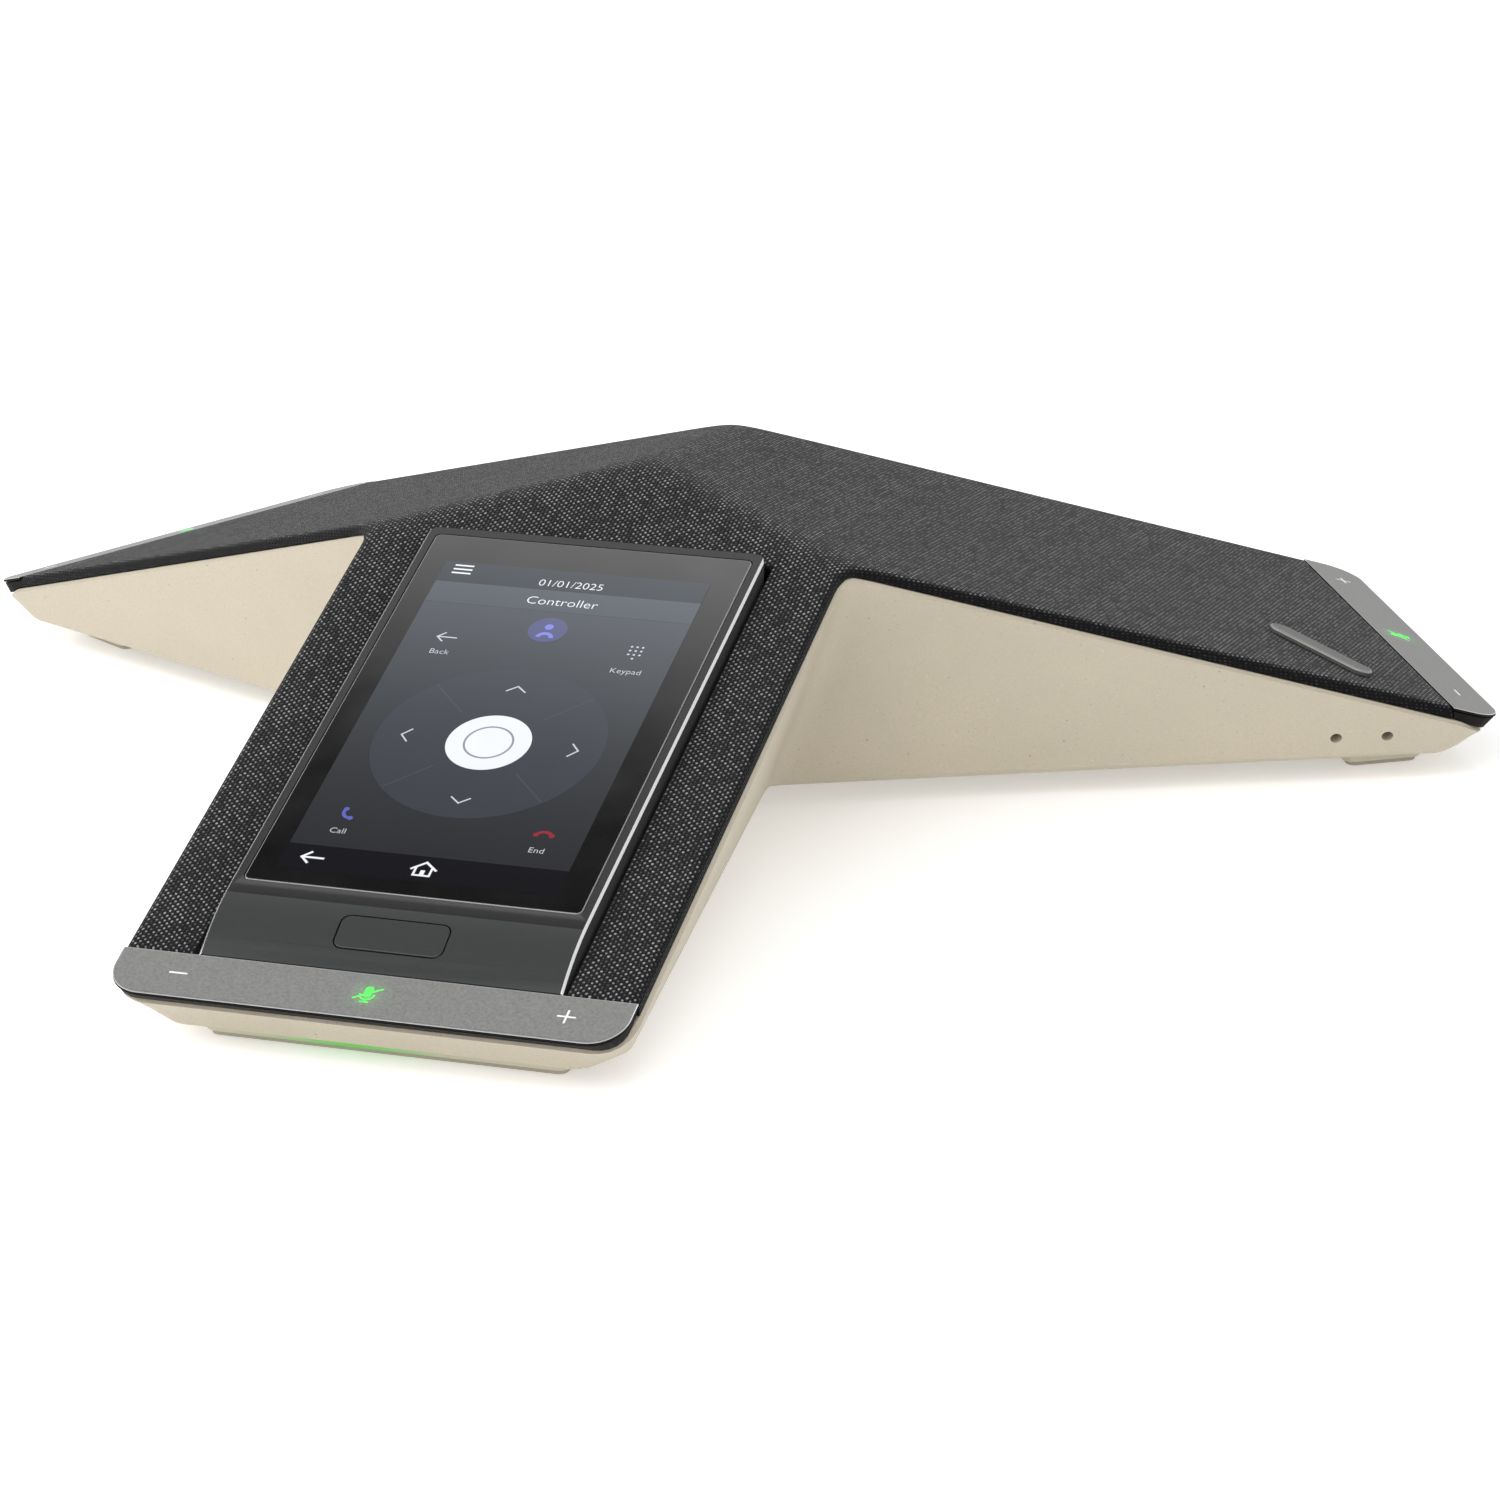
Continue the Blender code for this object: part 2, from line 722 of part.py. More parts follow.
def chin_curve(offset, steps=8):
    """Chin from the module's face down to the touch bar, as (r, z), moved in by offset."""
    start = Vector((FACE_END, module_height(FACE_END)))
    end = Vector((CHIN_END, plane_height(CHIN_END) - CHIN_DROP))
    tilt = math.atan(SLOPE)
    chord = end - start
    chord_tilt = math.atan2(-chord.y, chord.x)
    half_turn = chord_tilt - tilt
    radius = chord.length / (2 * math.sin(half_turn))
    centre = start - Vector((math.sin(tilt), math.cos(tilt))) * radius
    points = []
    for i in range(steps + 1):
        angle = tilt + 2 * half_turn * i / steps
        direction = Vector((math.sin(angle), math.cos(angle)))
        points.append(centre + direction * (radius - offset))
    return points


def face_point(r, drop):
    """Point on the module's face, moved in by drop."""
    return Vector((r, module_height(r))) - Vector((SLOPE, 1)).normalized() * drop


def module_profile(offset, top_drop):
    """Side outline of the module as (r, z) pairs."""
    curve = chin_curve(top_drop)
    end_r = CHIN_END - offset
    last = [point for point in curve if point.x < end_r - 0.5]
    end_z = curve[-1].y
    if offset:
        end_z += GAP
    foot = plane_height(CHIN_END) - CHIN_DEPTH
    low = Vector((MODULE_START + offset, module_height(MODULE_START) - MODULE_BACK))
    return ([face_point(MODULE_START + offset, top_drop), face_point(FACE_END - 3, top_drop)]
            + last + [Vector((end_r, end_z)), Vector((end_r, foot)), Vector((FACE_END - 6, foot)),
                      low])


def profile_prism(name, layers, material, smooth=0.0):
    """Solid through side outlines at given t on the front arm."""
    rings = [[on_arm("front", p.x, t, p.y) for p in profile] for t, profile in layers]
    return loft(name, rings, material, smooth)


def module_frame(r):
    return slope_frame("front", r, SCREEN_RISE)


def slope_length(length):
    return length * math.hypot(1, SLOPE)


def key_frame():
    """Frame at the middle of the home key: u down the chin, v across, n outward."""
    curve = chin_curve(0, 100)
    low, middle, high = curve[50], curve[51], curve[52]
    direction = (high - low).normalized()
    along, across = arm_axes("front")
    u_axis = along * direction.x + Vector((0, 0, 1)) * direction.y
    normal = u_axis.cross(across).normalized()
    return basis(on_arm("front", middle.x, 0, middle.y), u_axis, across, normal)


def later_start(profile, shift):
    """Profile with its upper end moved down the slope by shift."""
    step = Vector((shift, -shift * SLOPE))
    return [p + step if p.x < MODULE_START + 1 else p for p in profile]


def display_bezel(material):
    edge, corner = BEZEL_EDGE, BEZEL_CORNER
    layers = []
    for t, shift, drop in ((MODULE_HALF, corner, edge), (MODULE_HALF - edge, corner * 0.45, 0.0),
                           (MODULE_HALF - corner * 0.5, corner * 0.14, 0.0),
                           (MODULE_HALF - corner, 0.0, 0.0)):
        layers.append((t, later_start(module_profile(0.0, drop), shift)))
    mirrored = [(-t, profile) for t, profile in layers]
    bezel = profile_prism("display_bezel", mirrored + layers[::-1], material)
    cavity = deepen(module_profile(SKIN, CHIN_SKIN), 12.0)
    cut(bezel, profile_prism("cavity_tool", [(-MODULE_HALF + SKIN, cavity),
                                             (MODULE_HALF - SKIN, cavity)], None))
    middle = (GLASS_START + GLASS_END) / 2
    half_u = slope_length(GLASS_END - GLASS_START) / 2
    frame = module_frame(middle)
    cut(bezel, block("glass_tool", frame, half_u, GLASS_HALF, -SEAT_DROP, 3.0, None, 1.6))
    cut(bezel, block("window_tool", frame, half_u - 3.0, LCD_HALF + 1.0, -8.0, 3.0, None))
    key = key_frame()
    cut(bezel, block("key_tool", key, KEY_LENGTH / 2 + KEY_GAP, KEY_HALF + KEY_GAP, -5.0, 3.0,
                     None, KEY_RADIUS + KEY_GAP))
    add_module_posts(bezel)
    smooth_again(bezel, 12.0)


def deepen(profile, depth):
    """Move a profile's lower points down so that a cut opens the piece underneath."""
    count = len(profile)
    return [p - Vector((0, depth)) if i >= count - 3 else p for i, p in enumerate(profile)]


def add_module_posts(bezel):
    """Screw posts under the module, on a bridge across its open back."""
    under = module_height(SCREW_R) - MODULE_BACK + 1.0
    frame = arm_frame("front", SCREW_R, 0, under)
    join(bezel, block("bridge_tool", frame, 4.5, MODULE_HALF - 0.9, -2.6, 0.0, None))
    for side in (-1, 1):
        add_post(bezel, "front", side, under - 1.0)


def display_stack(glass, panel, metal, board):
    middle = (GLASS_START + GLASS_END) / 2
    half_u = slope_length(GLASS_END - GLASS_START) / 2
    frame = module_frame(middle)
    block("cover_glass", frame, half_u - 0.15, GLASS_HALF - 0.15, -GLASS_THICK, 0.0, glass,
          1.5, 0.2)
    seat = -SEAT_DROP - GAP
    block("lcd_panel", frame, half_u - 3.5, LCD_HALF, seat - 1.2, seat + 0.15, panel)
    block("backlight_unit", frame, half_u - 3.5, LCD_HALF, seat - 3.2, seat - 1.2 - GAP, metal)
    block("display_board", frame, 36.0, 25.0, seat - 4.4, seat - 3.2 - GAP, board)


def home_key(material):
    """Key cap with a flange that holds it behind the chin."""
    frame = key_frame()
    flange_top = -CHIN_SKIN - 2 * GAP
    key = block("home_key", frame, KEY_LENGTH / 2, KEY_HALF, flange_top - 0.4, -0.08, material,
                KEY_RADIUS, 0.15)
    join(key, block("flange_tool", frame, KEY_LENGTH / 2 + KEY_FLANGE, KEY_HALF + KEY_FLANGE,
                    flange_top - KEY_FLANGE_THICK, flange_top, None))
    set_origin(key, frame.translation)


def set_origin(obj, place):
    shift = Matrix.Translation(-place * MM)
    obj.data.transform(shift)
    obj.location = place * MM


def key_switch(material):
    frame = key_frame()
    top = -CHIN_SKIN - 2 * GAP - KEY_FLANGE_THICK - KEY_TRAVEL - 0.15
    block("key_switch", frame, 3.0, 3.0, top - 1.6, top, material, 0.6, 0.2)


# ---------------------------------------------------------------- hub contents

def level_frame(x, y, z):
    return basis(Vector((x, HUB_Y + y, z)), Vector((1, 0, 0)), Vector((0, 1, 0)),
                 Vector((0, 0, 1)))


def main_board(material):
    block("main_board", level_frame(0, -72.0, 0), 27.0, 46.0, 10.2, 11.8, material)


def shield_can(material):
    block("shield_can", level_frame(0, -62.0, 0), 18.0, 16.0, 12.1, 15.6, material, 1.0, 0.3, 2)


def port_bay(material):
    """Upturned box that makes the cable bay, with the socket cut-outs in its front wall."""
    middle = sum(BAY_Y) / 2
    half = (BAY_Y[1] - BAY_Y[0]) / 2
    frame = level_frame(0, middle, 0)
    bay = block("port_bay", frame, BAY_HALF, half, UNDERSIDE_Z, BAY_TOP, material, 1.5)
    cut(bay, block("bay_tool", frame, BAY_HALF - BAY_WALL, half - BAY_WALL, 0,
                   BAY_TOP - BAY_WALL, None))
    for x, half_x, low, high in SOCKETS.values():
        front = level_frame(x, BAY_Y[0], 0)
        cut(bay, block("socket_tool", front, half_x + 0.4, 3.0, low - 0.4, high + 0.4, None))


def socket(name, material):
    x, half_x, low, high = SOCKETS[name]
    face = BAY_Y[0] + BAY_WALL
    frame = level_frame(x, face - SOCKET_DEPTH / 2, 0)
    shell = block(name, frame, half_x, SOCKET_DEPTH / 2, low, high, material)
    half, hollow_low, hollow_high, depth = SOCKET_HOLLOWS[name]
    hollow = level_frame(x, face - depth / 2 + 1.0, 0)
    cut(shell, block("hollow_tool", hollow, half, depth / 2 + 1.0, hollow_low, hollow_high, None))


def port_board(material):
    frame = level_frame(0, BAY_Y[0] - 8.5, 0)
    block("port_board", frame, BAY_HALF - 1.0, 8.0, 8.1, 9.3, material)


def speaker(metal, magnet, rubber, cone):
    centre = Vector((0, HUB_Y, 0))
    top = SPEAKER_TOP
    rim = SPEAKER_RADIUS
    basket = [(rim - 4.0, top), (rim, top), (rim, top - 2.0), (rim - 5.0, top - 2.4),
              (17.0, top - 15.0), (17.0, top - 17.0), (11.0, top - 17.0), (11.0, top - 15.4),
              (15.0, top - 15.4), (rim - 7.0, top - 4.0), (rim - 4.0, top - 1.6)]
    turned("speaker_basket", basket, centre, metal, closed=True)
    turned("speaker_magnet", [(19.0, top - 27.0), (19.0, top - 17.3)], centre, magnet)
    roll = [(rim - 8.3, top + 0.3), (rim - 0.6, top + 0.3), (rim - 0.6, top + 0.9),
            (rim - 3.4, top + 1.0), (rim - 4.8, top + 2.2), (rim - 6.6, top + 2.2),
            (rim - 8.0, top + 1.0)]
    turned("speaker_surround", roll, centre, rubber, closed=True)
    edge = rim - 8.7
    dish = [(9.0, top - 11.0), (edge, top + 0.2), (edge, top + 1.0), (10.5, top - 8.6),
            (7.0, top - 6.6), (3.0, top - 6.0), (0.6, top - 6.0), (0.6, top - 7.0),
            (6.4, top - 7.6), (8.0, top - 11.0)]
    mover = turned("speaker_cone", dish, centre, cone)
    set_origin(mover, centre + Vector((0, 0, top)))


def speaker_chamber(material):
    """Cup that closes the back of the loudspeaker."""
    radius = SPEAKER_RADIUS + 0.4
    top = SPEAKER_TOP - 2.7
    low = BAY_TOP + GAP
    profile = [(0.8, low), (radius, low), (radius + 1.6, low + 1.6), (radius + 1.6, top),
               (radius - 0.6, top), (radius - 0.6, low + 2.0), (0.8, low + 2.0)]
    turned("speaker_chamber", profile, Vector((0, HUB_Y, 0)), material, closed=True)


def base_screw(index, arm, side, material):
    foot = on_arm(arm, SCREW_R, side * SCREW_T, 0)
    low = UNDERSIDE_Z + 0.1
    profile = [(0.9, low), (2.8, low), (2.8, low + 0.8), (1.45, low + 0.8), (1.45, low + 11.0)]
    turned("base_screw_%d" % index, profile, foot, material, 16)


def main():
    for obj in list(bpy.data.objects):
        bpy.data.objects.remove(obj)
    cream = make_material("cream_plastic", (0.56, 0.51, 0.41), 0.55)
    cloth = make_material("charcoal_fabric", (0.055, 0.055, 0.06), 0.95)
    frame_black = make_material("frame_black", (0.03, 0.03, 0.03), 0.7)
    bar_grey = make_material("bar_grey", (0.24, 0.24, 0.24), 0.4, 0.6)
    gasket = make_material("gasket_black", (0.02, 0.018, 0.016), 0.6)
    bezel_grey = make_material("bezel_grey", (0.06, 0.062, 0.065), 0.35, 0.5)
    glass = make_material("glass_black", (0.01, 0.01, 0.012), 0.05)
    panel = make_material("panel_dark", (0.03, 0.04, 0.06), 0.3)
    steel = make_material("plated_steel", (0.55, 0.55, 0.55), 0.35, 1.0)
    board = make_material("circuit_green", (0.02, 0.12, 0.05), 0.5)
    rubber = make_material("soft_rubber", (0.03, 0.03, 0.03), 0.9)
    sole = make_material("pale_rubber", (0.43, 0.40, 0.32), 0.9)
    diffuser = make_material("light_diffuser", (0.62, 0.57, 0.48), 0.45)
    magnet = make_material("ferrite", (0.05, 0.05, 0.05), 0.6)
    paper = make_material("cone_paper", (0.04, 0.04, 0.04), 0.85)

    base_housing(cream)
    fabric_cover(cloth)
    grille_frame(frame_black)
    badge(bar_grey)
    for arm in ARM_ANGLE:
        touch_bar(arm, bar_grey)
        bar_carrier(arm, gasket)
        touch_board(arm, board)
        mute_light_guide(arm, diffuser)
        foot_light_guide(arm, diffuser)
        rubber_foot(arm, sole)
        led_board(arm, board)
        microphone(arm, rubber, board)
    display_bezel(bezel_grey)
    display_stack(glass, panel, steel, board)
    home_key(bezel_grey)
    key_switch(frame_black)
    main_board(board)
    shield_can(steel)
    port_bay(frame_black)
    port_board(board)
    for name in SOCKETS:
        socket(name, steel)
    speaker(steel, magnet, rubber, paper)
    speaker_chamber(frame_black)
    for index, (arm, side) in enumerate(screw_places(), 1):
        base_screw(index, arm, side, steel)


main()
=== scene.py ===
"""Visual model of a three-armed conference phone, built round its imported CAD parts.

Sizes are in millimetres and become metres where a mesh is made. A place on the star is given as
(r, t, z): r along an arm from the hub axis, t across it, z above the table.
"""
import math

import bmesh
import bpy
from mathutils import Matrix, Vector


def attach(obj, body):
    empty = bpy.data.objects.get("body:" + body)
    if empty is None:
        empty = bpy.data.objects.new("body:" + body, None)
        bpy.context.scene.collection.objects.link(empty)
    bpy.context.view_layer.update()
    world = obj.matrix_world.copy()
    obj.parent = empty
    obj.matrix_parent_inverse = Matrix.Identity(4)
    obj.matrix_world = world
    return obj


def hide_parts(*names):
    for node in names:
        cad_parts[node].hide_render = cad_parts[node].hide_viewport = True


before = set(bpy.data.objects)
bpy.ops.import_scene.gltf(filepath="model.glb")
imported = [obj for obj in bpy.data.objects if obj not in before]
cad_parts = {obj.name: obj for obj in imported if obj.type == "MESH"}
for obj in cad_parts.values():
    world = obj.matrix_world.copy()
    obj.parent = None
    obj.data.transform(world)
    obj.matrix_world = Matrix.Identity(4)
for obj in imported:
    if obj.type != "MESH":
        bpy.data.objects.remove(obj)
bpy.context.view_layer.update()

MM = 0.001
GAP = 0.3

# Star, as in the CAD part
ARM_ANGLE = {"front": -90.0, "right": 30.0, "left": 150.0}
ARM_REACH = 191.0
BAR_DEPTH = 12.8
BAR_INNER = ARM_REACH - BAR_DEPTH
BAR_THICK = 0.8
ARM_HALF = 56.9
TIP_RADIUS = 8.0
HUB_Y = 24.5757
PEAK = 77.5
SLOPE = 0.328
PEAK_SOFTNESS = 4.0
LIP_DROP = 2.64
LIP_SLOPE = 0.3309
CORNER_SOFTNESS = 7.0
COVER_GAP = 0.2
NOTCH_HALF = 41.1
NOTCH_START = 36.4

# Cloth
CLOTH = 0.9
SKIRT_ROUND = 2.2
SKIRT_DROP = 1.5
END_ROUND = 0.5
THREAD = 0.80

# Display
SCREEN_RISE = 3.4
GLASS_START = 39.5
LCD_HALF = 31.5
PICTURE_SHIFT = 0.6
LCD_TOP = 10.1
LCD_LOW = 120.6
STATUS_LOW = 17.6
TITLE_LOW = 25.2
NAV_TOP = 112.3
WHEEL_X = 0.1
WHEEL_Y = 72.9
THIN = 0.36
SCREEN_LEVELS = {"back": (0.01, 0.04), "band": (0.045, 0.07), "seam": (0.075, 0.09),
                 "mark": (0.095, 0.12), "ring": (0.125, 0.14)}

# Touch bar marks
MARK_R = 184.2
MARK_HALF = 1.8
MINUS_T = -42.2
PLUS_T = 43.4
MARK_WIDTH = 0.45
MUTE_WIDTH = 0.36
HALO_FALL = 0.11

# Feet
FOOT_FRONT = 176.9
FOOT_BACK = 157.5
FOOT_HALF = 40.9
FOOT_RADIUS = 3.0
UNDERSIDE_Z = 4.6
PAD_THICK = 0.9
GLOW_T = -7.0
GLOW_FALL = 0.0042


# ---------------------------------------------------------------- places on the star

def arm_axes(arm):
    angle = math.radians(ARM_ANGLE[arm])
    along = Vector((math.cos(angle), math.sin(angle), 0))
    across = Vector((-math.sin(angle), math.cos(angle), 0))
    return along, across


def on_arm(arm, r, t, z):
    along, across = arm_axes(arm)
    return along * r + across * t + Vector((0, HUB_Y, z))


def arm_reaches(point):
    return [arm_axes(arm)[0].dot(point - Vector((0, HUB_Y, 0))) for arm in ARM_ANGLE]


def plane_height(r):
    return PEAK - SLOPE * r


def lip_height(r):
    return PEAK - LIP_DROP - LIP_SLOPE * r


def top_height(point):
    reaches = arm_reaches(point)
    longest = max(reaches)
    total = sum(math.exp((reach - longest) / PEAK_SOFTNESS) for reach in reaches)
    return PEAK - SLOPE * (longest + PEAK_SOFTNESS * math.log(total))


def slope_frame(arm, r, rise):
    """Axes on an arm's top: down the slope, across, out of the top, and the origin."""
    along, across = arm_axes(arm)
    lean = (along - Vector((0, 0, 1)) * SLOPE).normalized()
    normal = lean.cross(across).normalized()
    return lean, across, normal, on_arm(arm, r, 0, plane_height(r) + rise)


# ---------------------------------------------------------------- material graphs

class Graph:
    """Node material built from short calls. A value is a number, a colour or a socket."""

    def __init__(self, name, **settings):
        self.material = bpy.data.materials.new(name)
        self.material.use_nodes = True
        self.tree = self.material.node_tree
        self.shader = self.tree.nodes["Principled BSDF"]
        for key, value in settings.items():
            self.shader.inputs[key.replace("_", " ")].default_value = value

    def put(self, socket, value):
        if isinstance(value, bpy.types.NodeSocket):
            self.tree.links.new(value, socket)
        elif isinstance(value, (tuple, list)) and socket.type == "RGBA":
            socket.default_value = (*value[:3], 1.0)
        else:
            socket.default_value = value

    def set(self, name, value):
        self.put(self.shader.inputs[name], value)

    def node(self, kind, inputs=(), **options):
        made = self.tree.nodes.new(kind)
        for key, value in options.items():
            setattr(made, key, value)
        for key, value in dict(inputs).items():
            self.put(made.inputs[key], value)
        return made

    def math(self, operation, *values):
        made = self.node("ShaderNodeMath", operation=operation)
        for socket, value in zip(made.inputs, values):
            self.put(socket, value)
        return made.outputs[0]

    def place(self):
        return self.node("ShaderNodeTexCoord").outputs["Object"]

    def local(self, name):
        return self.node("ShaderNodeAttribute", attribute_name=name).outputs["Vector"]

    def split(self, vector):
        return self.node("ShaderNodeSeparateXYZ", {"Vector": vector}).outputs

    def join(self, x, y, z=0.0):
        return self.node("ShaderNodeCombineXYZ", {"X": x, "Y": y, "Z": z}).outputs[0]

    def noise(self, vector, scale, detail=2.0, roughness=0.5):
        made = self.node("ShaderNodeTexNoise", {"Vector": vector, "Scale": scale, "Detail": detail,
                                                "Roughness": roughness})
        return made.outputs[0]

    def white(self, vector):
        return self.node("ShaderNodeTexWhiteNoise", {"Vector": vector}).outputs["Value"]

    def cells(self, vector, scale):
        return self.node("ShaderNodeTexVoronoi", {"Vector": vector, "Scale": scale}).outputs

    def spread(self, value, low, high, to_low=0.0, to_high=1.0):
        inputs = {"Value": value, "From Min": low, "From Max": high, "To Min": to_low,
                  "To Max": to_high}
        return self.node("ShaderNodeMapRange", inputs, clamp=True).outputs[0]

    def mix(self, factor, first, second):
        made = self.node("ShaderNodeMix", data_type="RGBA")
        self.put(made.inputs["Factor"], factor)
        self.put(made.inputs[6], first)
        self.put(made.inputs[7], second)
        return made.outputs[2]

    def ramp(self, factor, stops):
        made = self.node("ShaderNodeValToRGB", {"Fac": factor})
        band = made.color_ramp
        while len(band.elements) < len(stops):
            band.elements.new(0.5)
        for element, (position, colour) in zip(band.elements, stops):
            element.position = position
            element.color = (*colour, 1.0)
        return made.outputs[0]

    def bump(self, height, distance_mm, strength=1.0):
        made = self.node("ShaderNodeBump", {"Height": height, "Distance": distance_mm * MM,
                                            "Strength": strength})
        self.set("Normal", made.outputs[0])


def srgb(red, green, blue):
    """Linear colour from 0-255 display values."""
    def linear(value):
        value /= 255.0
        return value / 12.92 if value <= 0.04045 else ((value + 0.055) / 1.055) ** 2.4
    return linear(red), linear(green), linear(blue)


def scaled(colour, factor):
    return tuple(channel * factor for channel in colour)


def cream_plastic():
    """Warm moulded plastic with a fine grain and sparse darker fibres."""
    g = Graph("cream_plastic", Roughness=0.52)
    place = g.place()
    base = srgb(188, 179, 160)
    cloud = g.noise(place, 45.0, 3.0)
    colour = g.mix(cloud, scaled(base, 0.93), scaled(base, 1.06))
    grain = g.noise(place, 1900.0, 2.0, 0.7)
    colour = g.mix(g.spread(grain, 0.42, 0.72, 0.0, 0.32), colour, scaled(base, 0.72))
    for scale, size, tint, keep in ((260.0, 0.085, 0.5, 0.62), (520.0, 0.13, 0.68, 0.5),
                                    (430.0, 0.11, 1.2, 0.5)):
        cell = g.cells(place, scale)
        chosen = g.math("GREATER_THAN", g.split(cell["Color"])[0], keep)
        near = g.spread(cell["Distance"], size, size * 0.6, 0.0, 0.8)
        colour = g.mix(g.math("MULTIPLY", near, chosen), colour, scaled(base, tint))
    g.set("Base Color", colour)
    g.set("Roughness", g.spread(grain, 0.2, 0.8, 0.44, 0.62))
    g.bump(g.noise(place, 2600.0, 3.0, 0.6), 0.05, 0.45)
    return g.material


def woven_cloth():
    """Plain weave of heather-grey threads over near-black ones, darker on the turned edge."""
    g = Graph("woven_cloth", Roughness=0.95, Sheen_Weight=0.12, Sheen_Roughness=0.35,
              Specular_IOR_Level=0.15)
    x, y, drop = g.split(g.local("weave"))[:3]
    wobble = g.math("MULTIPLY", g.math("SUBTRACT", g.noise(g.local("weave"), 0.35, 2.0), 0.5), 0.5)
    u = g.math("DIVIDE", g.math("ADD", x, wobble), THREAD * 1.1)
    v = g.math("DIVIDE", g.math("ADD", y, wobble), THREAD * 0.95)
    column, row = g.math("FLOOR", u), g.math("FLOOR", v)
    across = g.math("SINE", g.math("MULTIPLY", g.math("FRACT", u), math.pi))
    upward = g.math("SINE", g.math("MULTIPLY", g.math("FRACT", v), math.pi))
    odd = g.math("PINGPONG", g.math("ADD", column, row), 1.0)
    warp = g.math("MULTIPLY", across, g.math("POWER", g.math("MAXIMUM", upward, 0.001), 0.6))
    weft = g.math("MULTIPLY", upward, g.math("POWER", g.math("MAXIMUM", across, 0.001), 0.6))
    height = g.math("ADD", g.math("MULTIPLY", warp, g.math("SUBTRACT", 1.0, odd)),
                    g.math("MULTIPLY", weft, odd))
    fleck = g.white(g.join(column, row))
    streak = g.white(g.join(column, 7.0))
    fuzz = g.noise(g.local("weave"), 2.6, 4.0, 0.7)
    light = g.math("MULTIPLY", g.spread(fleck, 0.0, 1.0, 0.3, 1.2),
                   g.spread(streak, 0.0, 1.0, 0.75, 1.0))
    light = g.math("MULTIPLY", light, g.spread(height, 0.3, 0.9))
    light = g.math("MULTIPLY", light, g.spread(odd, 0.0, 1.0, 1.0, 0.16))
    light = g.math("ADD", light, g.spread(fuzz, 0.5, 0.8, 0.0, 0.2))
    light = g.math("MULTIPLY", light, g.spread(g.noise(g.local("weave"), 0.09, 3.0), 0.3, 0.7,
                                              0.85, 1.1))
    colour = g.ramp(light, ((0.0, (0.005, 0.005, 0.0055)), (0.22, (0.024, 0.024, 0.025)),
                            (0.55, (0.17, 0.17, 0.175)), (1.0, (0.34, 0.34, 0.345))))
    edge = g.math("ADD", drop, g.math("MULTIPLY", g.math("SUBTRACT", fuzz, 0.5), 1.6))
    shade = g.spread(edge, 1.0, 2.0, 0.0, 0.9)
    g.set("Base Color", g.mix(shade, colour, (0.003, 0.003, 0.0035)))
    g.bump(g.math("ADD", height, g.math("MULTIPLY", fuzz, 0.5)), 0.22, 0.75)
    return g.material


def bar_paint():
    """Satin metallic paint, with the glow of the mute light bleeding round its mark."""
    g = Graph("bar_paint", Metallic=0.55, Roughness=0.42)
    place = g.place()
    base = srgb(136, 136, 134)
    grain = g.noise(place, 1500.0, 2.0, 0.65)
    g.set("Base Color", g.mix(grain, scaled(base, 0.55), scaled(base, 1.42)))
    g.set("Roughness", g.spread(grain, 0.2, 0.8, 0.36, 0.5))
    g.bump(grain, 0.03, 0.3)
    r, t = g.split(g.local("arm"))[:2]
    away = g.math("SUBTRACT", r, MARK_R)
    square = g.math("ADD", g.math("MULTIPLY", away, away), g.math("MULTIPLY", t, t))
    glow = g.math("EXPONENT", g.math("MULTIPLY", square, -HALO_FALL))
    g.set("Emission Color", (0.03, 0.55, 0.03))
    g.set("Emission Strength", g.math("MULTIPLY", glow, 0.28))
    return g.material


def plain(name, colour, roughness, metallic=0.0, grain=1500.0, depth=0.03, vary=0.12, **more):
    """Even finish with a fine grain in colour, gloss and relief."""
    g = Graph(name, Metallic=metallic, **more)
    place = g.place()
    texture = g.noise(place, grain, 3.0, 0.6)
    g.set("Base Color", g.mix(texture, scaled(colour, 1 - vary), scaled(colour, 1 + vary)))
    g.set("Roughness", g.spread(texture, 0.2, 0.8, roughness * 0.88, min(1.0, roughness * 1.12)))
    g.bump(texture, depth, 0.4)
    return g.material


def brushed(name, colour, roughness):
    """Plated sheet metal with a rolled grain."""
    g = Graph(name, Metallic=1.0)
    x, y, z = g.split(g.place())[:3]
    lines = g.noise(g.join(g.math("MULTIPLY", x, 30.0), g.math("MULTIPLY", y, 900.0),
                           g.math("MULTIPLY", z, 900.0)), 1.0, 3.0)
    g.set("Base Color", g.mix(lines, scaled(colour, 0.85), scaled(colour, 1.08)))
    g.set("Roughness", g.spread(lines, 0.2, 0.8, roughness * 0.8, roughness * 1.2))
    return g.material


def circuit_board():
    """Green solder mask over straight copper tracks."""
    g = Graph("circuit_board", Roughness=0.42)
    x, y = g.split(g.place())[:2]
    step = 1.27 * MM
    cell = g.white(g.join(g.math("FLOOR", g.math("DIVIDE", x, step)),
                          g.math("FLOOR", g.math("DIVIDE", y, 6 * step))))
    track = g.math("GREATER_THAN", cell, 0.6)
    g.set("Base Color", g.mix(track, (0.010, 0.10, 0.035), (0.02, 0.17, 0.06)))
    g.bump(track, 0.03, 0.5)
    return g.material


